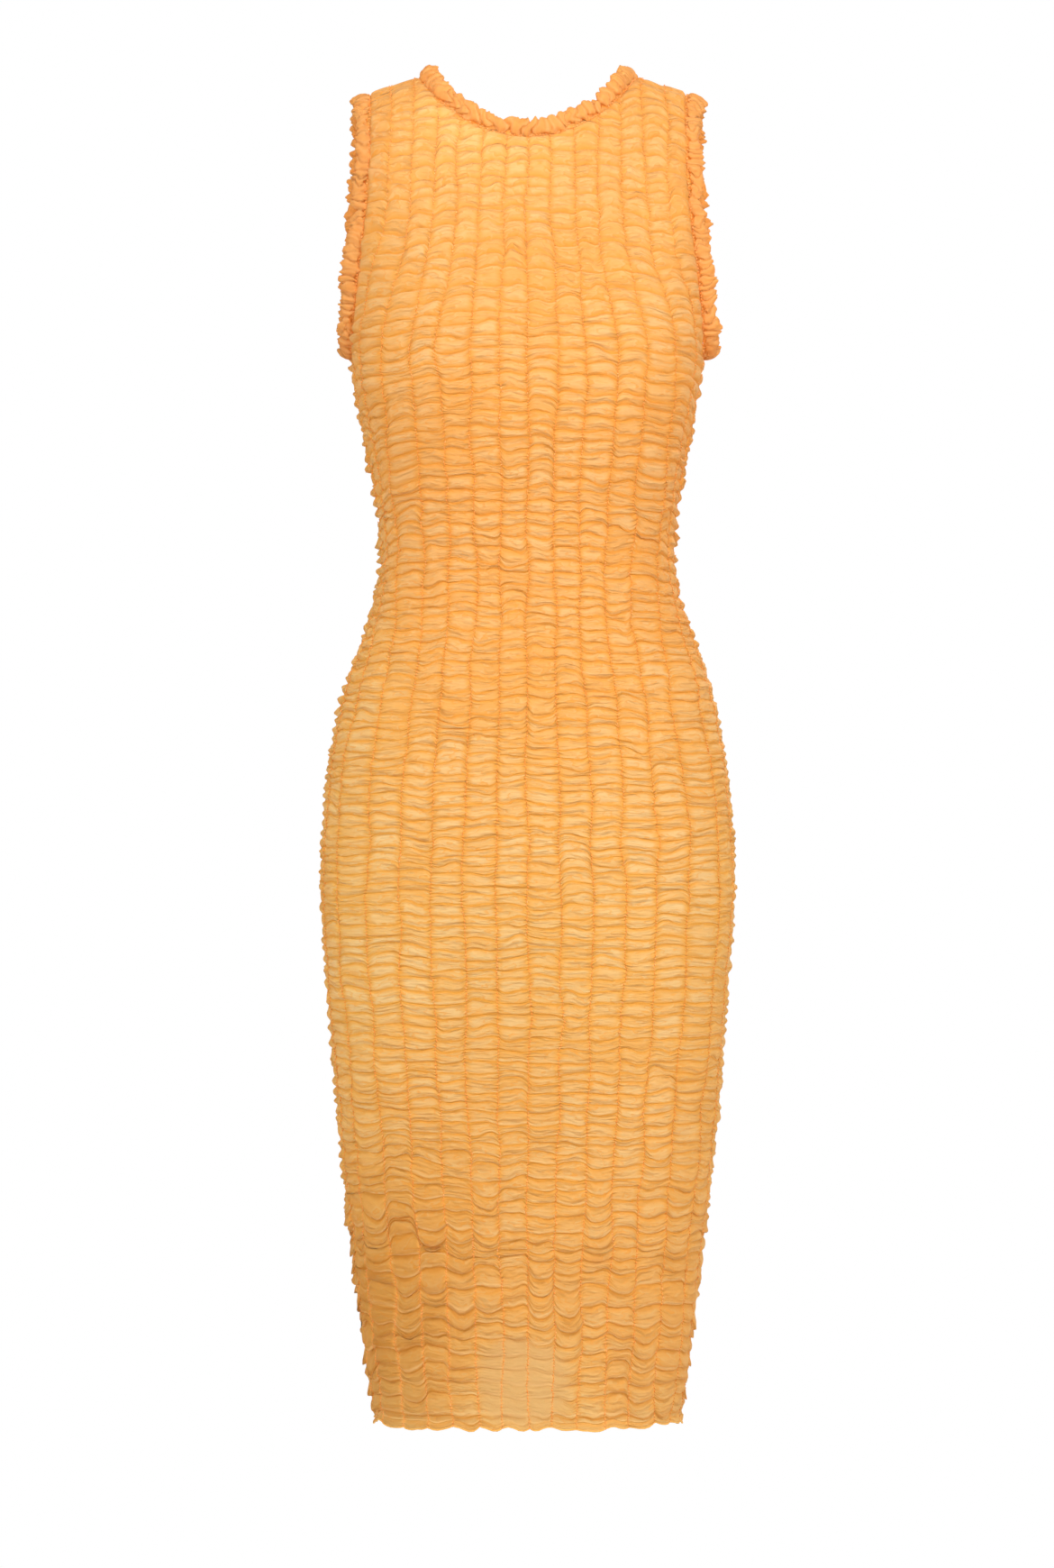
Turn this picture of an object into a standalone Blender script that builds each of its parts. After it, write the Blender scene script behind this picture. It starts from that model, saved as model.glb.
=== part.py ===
"""Sleeveless smocked midi dress, hollow, in its worn form.

Each panel is gathered along vertical elastic seams. It is a cloth wall with a plain inside and rows of raised
puffs outside, cut to a pattern outline and laid round a general dress form. Ruched bindings finish the neck and
the armholes. Metres, +Z up, the front faces -Y, +X is the wearer's left. The origin lies between the shoulders,
level with the top of the shoulder seams beside the neck.

The tables and sizes are in millimetres. A place on the cloth is (column, down): smocked columns counted from the
centre line, and millimetres down the cloth, which is the drop below the origin except over the shoulder.
"""

import math
import random
from collections import namedtuple

import bmesh
import bpy
import numpy as np
from mathutils import Vector, geometry

MM = 0.001
FRONT, BACK = -1, 1

# Driving sizes
LENGTH = 1109.0  # shoulder's neck point to hem
WALL = 1.5  # thickness of the cloth wall between the puffs
GAP = 0.3  # between pieces at a seam
HALF_COLUMNS = 9  # smocked columns from the centre line to the side seam, on each panel
SQUARENESS = 2.3  # exponent of the rings: 2 is an ellipse
UNDERARM = 236.0  # drop of the panels' edge at the side seam

# Shoulders: a ridge that slopes from the neck, rounded off over a cap
NECK_HALF_WIDTH = 76.0
SHOULDER_SLOPE = 0.33
CAP_HEIGHT = 50.0
CAP_LENGTH = 76.0  # the cloth's length over the cap

# Neckline: the panels' edges are arcs in front view
NECK_EDGE_HALF = 88.5
FRONT_NECK_DROP = 58.0
BACK_NECK_DROP = 48.0

EDGE_STEP = 6.0  # spacing of the points along a panel's armhole edge

# Smocking
TAUT_PITCH, LOOSE_PITCH = 15.0, 19.5  # rows of puffs, where the cloth is stretched and where it is slack
TAUT_PUFF, LOOSE_PUFF = 2.4, 5.0  # how far a puff stands out
PUFF_SAG = 0.12  # how far a puff's peak hangs below its middle, in rows
ROW_JITTER = 0.16  # unevenness of the gathers along a seam, in rows
EDGE_MARGIN = 5.5  # puffs and gathers keep this far from a panel's edge
COLUMN_ON_PATTERN = 22.0  # width of a column on the flat pattern
INNER_ROWS = 3  # the plain inside has a row of points for this many rows of puffs

# Hem: one ruffle wave to a column
HEM_WAVE = 2.5
HEM_FLARE = 3.5
HEM_JITTER = 1.2

# Ruched bindings. One leans out of the cloth's own surface where the cloth faces its lean_axis: the neck's stands
# up on the shoulders, and the armhole's flares to the side.
Band = namedtuple("Band", "half_width half_thickness gathers lean lean_axis lean_power")
NECK_BAND = Band(half_width=7.0, half_thickness=4.4, gathers=48, lean=0.55, lean_axis=2, lean_power=1)
ARMHOLE_BAND = Band(half_width=7.2, half_thickness=3.6, gathers=44, lean=1.5, lean_axis=0, lean_power=5)
TUCK_WIDTH, TUCK_THICKNESS = 0.82, 0.66  # of the crest's, where a gather is drawn in
BAND_CLEARANCE = 1.0  # beyond the panels' edge, whose chords cut across its curve
BAND_SIDES = 6
BAND_STEP = 2.5  # spacing of the points that a binding's path is read from

Level = namedtuple("Level", "drop half_width front_depth back_depth looseness")
LEVELS = [
    Level(-40, 148.0, 44, 50, 0.8),
    Level(0, 149.0, 54, 62, 0.8),
    Level(60, 149.0, 72, 80, 1.0),
    Level(110, 148.5, 87, 92, 1.0),
    Level(170, 147.0, 106, 98, 0.8),
    Level(235, 143.0, 121, 98, 0.6),
    Level(275, 137.0, 121, 95, 0.5),
    Level(330, 126.0, 108, 88, 0.6),
    Level(370, 119.5, 99, 82, 0.8),
    Level(410, 118.5, 96, 81, 0.9),
    Level(440, 125.0, 97, 86, 0.9),
    Level(470, 135.0, 99, 94, 0.8),
    Level(500, 146.0, 101, 104, 0.6),
    Level(530, 155.0, 103, 113, 0.5),
    Level(570, 162.5, 105, 123, 0.3),
    Level(680, 169.0, 107, 125, 0.1),
    Level(750, 164.5, 105, 110, 0.1),
    Level(840, 157.0, 101, 95, 0.3),
    Level(930, 147.0, 97, 88, 0.6),
    Level(1020, 136.0, 93, 85, 0.9),
    Level(1110, 125.0, 90, 84, 1.0),
    Level(1160, 120.0, 89, 84, 1.0),
]

ArmholeCut = namedtuple("ArmholeCut", "down front_columns back_columns")
ARMHOLE = [  # how many columns the armhole takes from each panel, counted from the side seam
    ArmholeCut(-8.0, 2.00, 2.14),
    ArmholeCut(40, 2.25, 2.22),
    ArmholeCut(100, 2.42, 2.14),
    ArmholeCut(150, 2.18, 1.90),
    ArmholeCut(190, 1.66, 1.44),
    ArmholeCut(215, 1.16, 1.04),
    ArmholeCut(229, 0.62, 0.58),
    ArmholeCut(UNDERARM, 0.0, 0.0),
]

CLOTH_COLOUR = (0.91, 0.45, 0.115)
BINDING_COLOUR = (0.92, 0.42, 0.10)


def smooth_value(xs, ys, x):
    """Value at x of the smooth curve through the points, with slopes taken from each point's neighbours."""
    i = int(np.clip(np.searchsorted(xs, x) - 1, 0, len(xs) - 2))
    slopes = np.gradient(ys, xs)
    step = xs[i + 1] - xs[i]
    t = (x - xs[i]) / step
    rise = (2 * t**3 - 3 * t**2 + 1) * ys[i] + (3 * t**2 - 2 * t**3) * ys[i + 1]
    return rise + step * ((t**3 - 2 * t**2 + t) * slopes[i] + (t**3 - t**2) * slopes[i + 1])


DROPS = np.array([level.drop for level in LEVELS], float)
SIZES = {name: np.array([getattr(level, name) for level in LEVELS], float) for name in Level._fields}


def size_at(name, drop):
    """One of LEVELS' columns at a drop between its rows."""
    return smooth_value(DROPS, SIZES[name], drop)


def quarter_ring(side, drop):
    """A quarter of the form's ring, from the centre line to the side: shares of its length, x and y."""
    depth = size_at("front_depth" if side == FRONT else "back_depth", drop)
    angle = np.linspace(0, math.pi / 2, 73)
    x = size_at("half_width", drop) * np.sin(angle) ** (2 / SQUARENESS)
    y = depth * np.abs(np.cos(angle)) ** (2 / SQUARENESS)
    length = np.concatenate([[0], np.cumsum(np.hypot(np.diff(x), np.diff(y)))])
    return length / length[-1], x, y


def ridge_drop(x):
    """Drop of the shoulder's ridge at a distance x from the centre line."""
    return SHOULDER_SLOPE * max(0.0, abs(x) - NECK_HALF_WIDTH)


def on_form(side, column, down):
    """The point of the form under a place on the cloth. The form goes on past the side seam and over the ridge."""
    share = abs(column) / HALF_COLUMNS
    facing = side if share <= 1 else -side
    share = min(share, 2 - share)
    shares, xs, ys = quarter_ring(facing, down)
    base = ridge_drop(np.interp(share, shares, xs)) + CAP_HEIGHT
    drop, cap = down, 1.0
    if down < base:
        turn = (base - down) / CAP_LENGTH * math.pi / 2
        drop, cap = base - CAP_HEIGHT * math.sin(turn), math.cos(turn)
        shares, xs, ys = quarter_ring(facing, drop)
    x = math.copysign(np.interp(share, shares, xs), column)
    return Vector((x, facing * cap * np.interp(share, shares, ys), -drop))


def normal_at(side, column, down):
    """The form's outward normal under a place on the cloth."""
    across = on_form(side, column + 0.03, down) - on_form(side, column - 0.03, down)
    along = on_form(side, column, down + 1) - on_form(side, column, down - 1)
    return (across.cross(along) * side).normalized()


def down_to(x, drop):
    """How far down the cloth a point lies that is at x and at that drop."""
    base = ridge_drop(x) + CAP_HEIGHT
    if drop >= base:
        return drop
    turn = math.asin(min(1.0, (base - drop) / CAP_HEIGHT))
    return base - CAP_LENGTH * turn / (math.pi / 2)


def neck_arc(side, count):
    """Places along a panel's neckline, from the right shoulder's ridge to the left's."""
    ridge = ridge_drop(NECK_EDGE_HALF)
    dip = (FRONT_NECK_DROP if side == FRONT else BACK_NECK_DROP) - ridge
    radius = (NECK_EDGE_HALF**2 + dip**2) / (2 * dip)
    reach = math.asin(NECK_EDGE_HALF / radius)
    places = []
    for i in range(count + 1):
        angle = reach * (2 * i / count - 1)
        x = radius * math.sin(angle)
        drop = ridge + dip - radius * (1 - math.cos(angle))
        shares, xs, _ = quarter_ring(side, drop)
        column = math.copysign(HALF_COLUMNS * np.interp(abs(x), xs, shares), x)
        places.append((side, column, down_to(x, drop)))
    return places


def armhole_curve(step):
    """Places round the left armhole, from the shoulder down its front and up its back, about step apart."""
    rows = [(-cut.front_columns, cut.down) for cut in ARMHOLE]
    rows += [(cut.back_columns, cut.down) for cut in reversed(ARMHOLE[:-1])]
    points = np.array([(q * COLUMN_ON_PATTERN, down) for q, down in rows])
    along = np.concatenate([[0], np.cumsum(np.linalg.norm(np.diff(points, axis=0), axis=1))])
    spots = np.linspace(0, along[-1], 2 * round(along[-1] / step / 2) + 1)
    places = []
    for spot in spots:
        q, down = (smooth_value(along, points[:, k], spot) for k in (0, 1))
        columns = q / COLUMN_ON_PATTERN
        places.append((FRONT if spot <= along[-1] / 2 else BACK, HALF_COLUMNS - abs(columns), down))
    return places


def row_downs():
    """Places of the rows of gathers down the cloth, closer together where it is stretched."""
    downs = [-20.0]
    while True:
        looseness = size_at("looseness", max(0.0, downs[-1]))
        pitch = TAUT_PITCH + (LOOSE_PITCH - TAUT_PITCH) * looseness
        if downs[-1] + pitch > LENGTH - EDGE_MARGIN:
            return downs
        downs.append(downs[-1] + pitch)


def panel_outline(side, rows, rng):
    """The panel's pattern outline, mirrored about the centre line: (column, down, flare) for each point."""
    neck = [(column, down, 0.0) for _, column, down in neck_arc(side, 32) if column >= 0]
    arm = [(column, down, 0.0) for s, column, down in armhole_curve(EDGE_STEP) if s == side or column > 8.999]
    if side == BACK:
        arm.reverse()
    shoulder_from, shoulder_to = neck[-1], arm[0]
    shoulder = [
        tuple(a + (b - a) * t for a, b in zip(shoulder_from, shoulder_to)) for t in (0.25, 0.5, 0.75)
    ]
    seam = HALF_COLUMNS - GAP / 2 / COLUMN_ON_PATTERN  # so that the two panels stay a gap apart
    side_seam = [(seam, down, 0.0) for down in rows if down > UNDERARM + EDGE_MARGIN]
    arm[-1] = (seam, UNDERARM, 0.0)
    half = neck + shoulder + arm + side_seam
    corner = [(seam, LENGTH, 0.0)]
    hem = []
    for i in range(1, 4 * HALF_COLUMNS):
        column = HALF_COLUMNS - i / 2
        mid = i % 2
        down = LENGTH + HEM_WAVE * (mid - 0.5) + rng.uniform(-HEM_JITTER, HEM_JITTER)
        hem.append((column, down, HEM_FLARE * mid))
    mirrored = [(-column, down, flare) for column, down, flare in reversed(half)]
    return half + corner + hem + [(-seam, LENGTH, 0.0)] + mirrored[:-1]


def clear_of(outline, point, margin):
    """True if a pattern point lies inside the outline and at least margin from it."""
    a, b = outline, np.roll(outline, -1, axis=0)
    d = b - a
    t = np.clip(((point - a) * d).sum(1) / np.maximum((d * d).sum(1), 1e-9), 0, 1)
    if np.linalg.norm(point - a - t[:, None] * d, axis=1).min() < margin:
        return False
    crosses = (a[:, 1] > point[1]) != (b[:, 1] > point[1])
    where = a[:, 0] + (point[1] - a[:, 1]) * d[:, 0] / np.where(crosses, d[:, 1], 1)
    return bool(np.count_nonzero(crosses & (where > point[0])) % 2)


def triangulated(outline, inner, edges):
    """Triangles of a flat pattern: its outline, the points inside it, and edges that must show."""
    points = [Vector(p) for p in list(outline) + inner]
    count = len(outline)
    rim = [(i, (i + 1) % count) for i in range(count)]
    found = geometry.delaunay_2d_cdt(points, rim + edges, [], 1, 1e-5)
    originals = [ids[0] for ids in found[3]]
    return [[originals[i] for i in face] for face in found[2]]


def smocked_points(side, flat, rows, rng):
    """Points and fold lines of the raised outer side: gathers along the seams, and a puff's peak between them."""
    places, heights, edges, index = [], [], [], {}

    def add(key, column, down, height):
        point = np.array((column * COLUMN_ON_PATTERN, down))
        if clear_of(flat, point, EDGE_MARGIN):
            index[key] = len(flat) + len(places)
            places.append((column, down))
            heights.append(height)

    for seam in range(-HALF_COLUMNS + 1, HALF_COLUMNS):
        for k in range(1, len(rows)):
            pitch = rows[k] - rows[k - 1]
            add(("seam", seam, k), seam, rows[k] + pitch * rng.uniform(-ROW_JITTER, ROW_JITTER), 0.0)
    for column in range(-HALF_COLUMNS, HALF_COLUMNS):
        for k in range(1, len(rows) - 1):
            pitch = rows[k + 1] - rows[k]
            looseness = size_at("looseness", max(0.0, rows[k]))
            height = (TAUT_PUFF + (LOOSE_PUFF - TAUT_PUFF) * looseness) * rng.uniform(0.8, 1.15)
            add(("puff", column, k), column + 0.5, rows[k] + pitch * (0.5 + PUFF_SAG), height)
    for kind, column, k in index:
        for other in (("seam", column, k + 1), ("seam", column + 1, k)):
            if kind == "seam" and other in index:
                edges.append((index[kind, column, k], index[other]))
    return places, heights, edges


def plain_points(flat, rows):
    """Points of the plain inner side: where the seams cross every few rows."""
    places = []
    for seam in range(-HALF_COLUMNS + 1, HALF_COLUMNS):
        for down in rows[1::INNER_ROWS]:
            if clear_of(flat, np.array((seam * COLUMN_ON_PATTERN, down)), 1.5 * EDGE_MARGIN):
                places.append((seam, down))
    return places


def make_panel(name, side, seed):
    """A smocked panel: raised puffs outside, a plain wall inside, and a rim round its outline."""
    rng = random.Random(seed)
    rows = row_downs()
    outline = panel_outline(side, rows, rng)
    flat = np.array([(column * COLUMN_ON_PATTERN, down) for column, down, _ in outline])
    puffs, heights, folds = smocked_points(side, flat, rows, rng)
    plain = plain_points(flat, rows)

    def flat_points(places):
        return [(column * COLUMN_ON_PATTERN, down) for column, down in places]

    mesh = bmesh.new()

    def vertex(column, down, out):
        point = on_form(side, column, down) + normal_at(side, column, down) * out
        return mesh.verts.new(clear_of_ridge(side, point) * MM)

    rim_out = [vertex(column, down, WALL + flare) for column, down, flare in outline]
    rim_in = [vertex(column, down, flare) for column, down, flare in outline]
    outer = rim_out + [vertex(*place, WALL + height) for place, height in zip(puffs, heights)]
    inner = rim_in + [vertex(*place, 0.0) for place in plain]
    for triangle in triangulated(flat, flat_points(puffs), folds):
        mesh.faces.new([outer[i] for i in triangle])
    for triangle in triangulated(flat, flat_points(plain), []):
        mesh.faces.new([inner[i] for i in reversed(triangle)])
    for i in range(len(outline)):
        j = (i + 1) % len(outline)
        mesh.faces.new((rim_out[i], rim_in[i], rim_in[j], rim_out[j]))
    return finished(name, mesh, CLOTH_COLOUR)


def clear_of_ridge(side, point):
    """The point kept half a gap on its own side of the shoulder and side seams."""
    return Vector((point.x, side * max(side * point.y, GAP / 2), point.z))


def band_frames(places, band):
    """Centre, width and thickness directions of a band at twice its gathers, just past the panels' edge."""
    points = np.array([on_form(*place) + normal_at(*place) * WALL / 2 for place in places + places[:1]])
    normals = np.array([normal_at(*place) for place in places + places[:1]])
    along = np.concatenate([[0], np.cumsum(np.linalg.norm(np.diff(points, axis=0), axis=1))])
    stations = np.linspace(0, along[-1], 2 * band.gathers, endpoint=False)
    edge, out = ([Vector([np.interp(s, along, values[:, k]) for k in range(3)]) for s in stations]
                 for values in (points, normals))
    middle = sum(edge, Vector()) / len(edge)
    frames = []
    for i, point in enumerate(edge):
        ahead = (edge[(i + 1) % len(edge)] - edge[i - 1]).normalized()
        normal = (out[i] - ahead * out[i].dot(ahead)).normalized()
        inward = ahead.cross(normal)
        if inward.dot(middle - point) < 0:
            inward.negate()
        lean = band.lean * max(0.0, normal[band.lean_axis]) ** band.lean_power
        wide = (inward + normal * lean).normalized()
        thick = (normal - inward * lean).normalized()
        frames.append((point + inward * BAND_CLEARANCE + wide * band.half_width, wide, thick))
    return frames


def make_binding(name, places, band, mirror=False):
    """A ruched tube round an opening, with one tuck between two crests for each gather."""
    mesh = bmesh.new()
    rings = []
    for i, (centre, wide, thick) in enumerate(band_frames(places, band)):
        tuck = i % 2
        half_width = band.half_width * (TUCK_WIDTH if tuck else 1.0)
        half_thickness = band.half_thickness * (TUCK_THICKNESS if tuck else 1.0)
        ring = []
        for k in range(BAND_SIDES):
            angle = 2 * math.pi * k / BAND_SIDES
            point = centre + wide * half_width * math.cos(angle) + thick * half_thickness * math.sin(angle)
            ring.append(mesh.verts.new(Vector((-point.x if mirror else point.x, point.y, point.z)) * MM))
        rings.append(ring)
    for ring, following in zip(rings, rings[1:] + rings[:1]):
        for k in range(BAND_SIDES):
            j = (k + 1) % BAND_SIDES
            mesh.faces.new((ring[k], ring[j], following[j], following[k]))
    return finished(name, mesh, BINDING_COLOUR)


def cloth_material(name, colour):
    """Matt woven cloth."""
    material = bpy.data.materials.new(name)
    material.use_nodes = True
    shader = material.node_tree.nodes["Principled BSDF"]
    shader.inputs["Base Color"].default_value = (*colour, 1)
    shader.inputs["Roughness"].default_value = 0.8
    shader.inputs["Metallic"].default_value = 0.0
    return material


def finished(name, mesh, colour):
    """An object in the dress's collection from a closed bmesh."""
    bmesh.ops.recalc_face_normals(mesh, faces=mesh.faces)
    data = bpy.data.meshes.new(name)
    mesh.to_mesh(data)
    mesh.free()
    if bmesh_volume(data) < 0:
        data.flip_normals()
    data.materials.append(cloth_material(name, colour))
    part = bpy.data.objects.new(name, data)
    bpy.data.collections["smocked_dress"].objects.link(part)
    return part


def bmesh_volume(data):
    """Signed volume of a closed mesh: negative where it is inside out."""
    check = bmesh.new()
    check.from_mesh(data)
    volume = check.calc_volume(signed=True)
    check.free()
    return volume


def main():
    """Clears the scene and builds the dress."""
    for old in list(bpy.data.objects):
        bpy.data.objects.remove(old)
    collection = bpy.data.collections.new("smocked_dress")
    bpy.context.scene.collection.children.link(collection)

    make_panel("front", FRONT, seed=11)
    make_panel("back", BACK, seed=12)

    neck = neck_arc(FRONT, 96) + neck_arc(BACK, 96)[::-1][1:-1]
    make_binding("neck_binding", neck, NECK_BAND)
    armhole = armhole_curve(BAND_STEP)[:-1]
    make_binding("armhole_binding_left", armhole, ARMHOLE_BAND)
    make_binding("armhole_binding_right", armhole, ARMHOLE_BAND, mirror=True)


main()
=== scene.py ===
"""A sleeveless smocked midi dress in sheer orange cloth, in the form that it takes when it is worn.

The panels are gathered along vertical elastic seams, and between the seams the cloth stands out in
irregular puffs. Ruched bindings finish the neck and the armholes, and the hem is rolled.

The dressmaker's sizes are in millimetres, and the meshes are in metres: +Z up, the front faces -Y. A
place on the cloth is (column, down): columns of the solids' puffs counted from the centre line, and
millimetres down the cloth, which is the drop below the shoulder's neck point except over the shoulder.
Seams are counted from the centre line too, and have their own spacing at each level.
"""

from __future__ import annotations

import logging
import math
from dataclasses import dataclass, field
from enum import Enum
from typing import Any, Iterable, Sequence

import bpy
import numpy as np
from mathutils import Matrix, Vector

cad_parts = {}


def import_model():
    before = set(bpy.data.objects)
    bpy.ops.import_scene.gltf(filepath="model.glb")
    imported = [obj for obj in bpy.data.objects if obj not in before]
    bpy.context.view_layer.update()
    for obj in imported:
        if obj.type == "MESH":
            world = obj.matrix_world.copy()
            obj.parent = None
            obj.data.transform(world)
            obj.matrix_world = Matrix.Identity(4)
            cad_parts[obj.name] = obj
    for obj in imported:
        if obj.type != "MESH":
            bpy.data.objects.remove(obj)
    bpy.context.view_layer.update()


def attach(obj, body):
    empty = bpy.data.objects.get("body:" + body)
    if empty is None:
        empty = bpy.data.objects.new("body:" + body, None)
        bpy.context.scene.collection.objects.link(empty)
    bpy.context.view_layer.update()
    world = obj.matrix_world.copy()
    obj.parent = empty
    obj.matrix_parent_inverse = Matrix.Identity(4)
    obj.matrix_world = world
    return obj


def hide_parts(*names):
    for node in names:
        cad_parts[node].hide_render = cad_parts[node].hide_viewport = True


LOG = logging.getLogger("smocked_dress")
MM = 0.001
BODY = "root"
PUFF_UV = "puffs"
CLOTH_UV = "cloth"
PANEL_FLOATS = ("depth", "lap", "sheer", "gold", "dusk")
OUTWARD = "outward"
FAR = 1e3  # millimetres, further than any place is from an opening


class Side(Enum):
    """Which of the two panels, by the way that it faces along Y."""

    FRONT = -1
    BACK = 1


class Slot(Enum):
    """Material slots of the record."""

    CLOTH = "shirred_cloth"
    BINDING = "ruched_binding"
    STITCHING = "stitching"


# --------------------------------------
# The general form that the cloth is laid on


def smooth_values(xs: np.ndarray, ys: np.ndarray, x: np.ndarray) -> np.ndarray:
    """Values at x of the smooth curve through the points.

    Args:
        xs: The points' places, rising.
        ys: The points' values.
        x: Where to read the curve.

    Returns:
        One value for each x, with each point's slope taken from its neighbours.
    """
    i = np.clip(np.searchsorted(xs, x) - 1, 0, len(xs) - 2)
    slopes = np.gradient(ys, xs)
    step = xs[i + 1] - xs[i]
    t = (x - xs[i]) / step
    rise = (2 * t**3 - 3 * t**2 + 1) * ys[i] + (3 * t**2 - 2 * t**3) * ys[i + 1]
    return rise + step * ((t**3 - 2 * t**2 + t) * slopes[i] + (t**3 - t**2) * slopes[i + 1])


def smoothstep(low: float, high: float, value: np.ndarray) -> np.ndarray:
    """Rises from 0 at low to 1 at high, level at both ends."""
    t = np.clip((value - low) / (high - low), 0.0, 1.0)
    return t * t * (3 - 2 * t)


@dataclass(frozen=True)
class Table:
    """Values on an even grid, read between its rows and columns."""

    values: np.ndarray
    row_start: float
    row_step: float
    column_step: float

    def at(self, row: np.ndarray, column: np.ndarray) -> np.ndarray:
        """The value at a place between the grid's rows and columns.

        Args:
            row: Places down the grid, in the rows' own unit.
            column: Places across it, in the columns'.

        Returns:
            The values there.
        """
        i = np.clip((row - self.row_start) / self.row_step, 0, self.values.shape[0] - 1.001)
        j = np.clip(column / self.column_step, 0, self.values.shape[1] - 1.001)
        i0, j0 = i.astype(int), j.astype(int)
        a, b, v = i - i0, j - j0, self.values
        upper = (1 - b) * v[i0, j0] + b * v[i0, j0 + 1]
        lower = (1 - b) * v[i0 + 1, j0] + b * v[i0 + 1, j0 + 1]
        return (1 - a) * upper + a * lower


@dataclass(frozen=True)
class DressForm:
    """The smooth form under the dress: rings of half a width and two depths, and a rounded shoulder.

    It repeats the sizes of the solid model, in millimetres.
    """

    length: float = 1109.0
    half_columns: int = 9
    squareness: float = 2.3
    underarm: float = 236.0
    neck_half_width: float = 76.0
    shoulder_slope: float = 0.33
    cap_height: float = 50.0
    cap_length: float = 76.0
    neck_edge_half: float = 88.5
    front_neck_drop: float = 58.0
    back_neck_drop: float = 48.0
    column_on_pattern: float = 22.0
    rings: tuple[tuple[float, float, float, float], ...] = (  # drop, half width, front depth, back depth
        (-40, 148.0, 44, 50),
        (0, 149.0, 54, 62),
        (60, 149.0, 72, 80),
        (110, 148.5, 87, 92),
        (170, 147.0, 106, 98),
        (235, 143.0, 121, 98),
        (275, 137.0, 121, 95),
        (330, 126.0, 108, 88),
        (370, 119.5, 99, 82),
        (410, 118.5, 96, 81),
        (440, 125.0, 97, 86),
        (470, 135.0, 99, 94),
        (500, 146.0, 101, 104),
        (530, 155.0, 103, 113),
        (570, 162.5, 105, 123),
        (680, 169.0, 107, 125),
        (750, 164.5, 105, 110),
        (840, 157.0, 101, 95),
        (930, 147.0, 97, 88),
        (1020, 136.0, 93, 85),
        (1110, 125.0, 90, 84),
        (1160, 120.0, 89, 84),
    )
    armhole: tuple[tuple[float, float, float], ...] = (  # down, and columns cut from front and back
        (-8.0, 2.00, 2.14),
        (40, 2.25, 2.22),
        (100, 2.42, 2.14),
        (150, 2.18, 1.90),
        (190, 1.66, 1.44),
        (215, 1.16, 1.04),
        (229, 0.62, 0.58),
        (236, 0.0, 0.0),
    )
    ring_step: float = 3.0  # spacing of the rings that the form is read from
    ring_shares: int = 241  # places on a quarter ring that it is read from
    ring_angles: int = 181  # steps that a quarter ring is measured in
    _tables: dict[Side, tuple[Table, Table]] = field(default_factory=dict)

    def __post_init__(self) -> None:
        """Works out both sides' rings once."""
        rings = np.array(self.rings, float)
        drops = np.arange(self.rings[0][0], self.rings[-1][0] + 1, self.ring_step)
        angle = np.linspace(0, math.pi / 2, self.ring_angles)
        across = np.sin(angle) ** (2 / self.squareness)
        deep = np.abs(np.cos(angle)) ** (2 / self.squareness)
        shares = np.linspace(0, 1, self.ring_shares)
        half = smooth_values(rings[:, 0], rings[:, 1], drops)
        for side, column in ((Side.FRONT, 2), (Side.BACK, 3)):
            depth = smooth_values(rings[:, 0], rings[:, column], drops)
            table_x, table_y = [], []
            for h, d in zip(half, depth):
                x, y = h * across, d * deep
                length = np.concatenate([[0], np.cumsum(np.hypot(np.diff(x), np.diff(y)))])
                table_x.append(np.interp(shares, length / length[-1], x))
                table_y.append(np.interp(shares, length / length[-1], y))
            self._tables[side] = tuple(
                Table(np.array(values), self.rings[0][0], self.ring_step, shares[1])
                for values in (table_x, table_y)
            )

    def ring_point(
        self, side: Side, share: np.ndarray, drop: np.ndarray
    ) -> tuple[np.ndarray, np.ndarray]:
        """Distance from the centre line and depth at shares of a quarter ring.

        Args:
            side: Which panel's ring.
            share: 0 on the centre line to 1 at the side seam.
            drop: Drop of the ring.

        Returns:
            The x and y sizes, both positive.
        """
        share, drop = np.broadcast_arrays(share, drop)
        return tuple(table.at(drop, share) for table in self._tables[side])

    def ridge_drop(self, x: np.ndarray) -> np.ndarray:
        """Drop of the shoulder's ridge at distances x from the centre line."""
        return self.shoulder_slope * np.maximum(0.0, np.abs(x) - self.neck_half_width)

    def points(self, side: Side, column: np.ndarray, down: np.ndarray) -> np.ndarray:
        """Points of the form under places on the cloth, in millimetres.

        Args:
            side: Which panel the places are on.
            column: Smocked columns from the centre line. The form goes on past the side seam.
            down: Millimetres down the cloth.

        Returns:
            An array of points, with one more axis than column.
        """
        share = np.abs(column) / self.half_columns
        past = share > 1
        share = np.minimum(share, 2 - share)
        other = Side(-side.value)

        def on_ring(drop: np.ndarray) -> tuple[np.ndarray, np.ndarray]:
            """The ring's point at a level, on the other panel's ring past the side seam."""
            near = self.ring_point(side, share, drop)
            far = self.ring_point(other, share, drop)
            return np.where(past, far[0], near[0]), np.where(past, -far[1], near[1])

        base = self.ridge_drop(on_ring(down)[0]) + self.cap_height
        turn = np.maximum(0.0, base - down) / self.cap_length * math.pi / 2
        drop = np.where(down < base, base - self.cap_height * np.sin(turn), down)
        x, y = on_ring(drop)
        return np.stack([np.sign(column) * x, side.value * np.cos(turn) * y, -drop], axis=-1)

    def normals(self, side: Side, column: np.ndarray, down: np.ndarray) -> np.ndarray:
        """The form's outward unit normals under places on the cloth.

        Args:
            side: Which panel the places are on.
            column: Smocked columns from the centre line.
            down: Millimetres down the cloth.

        Returns:
            The normals, with one more axis than column.
        """
        beside, below = 0.03, 1  # of a column, and millimetres
        across = self.points(side, column + beside, down) - self.points(side, column - beside, down)
        along = self.points(side, column, down + below) - self.points(side, column, down - below)
        normal = np.cross(across, along) * side.value
        return normal / np.linalg.norm(normal, axis=-1, keepdims=True)

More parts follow.
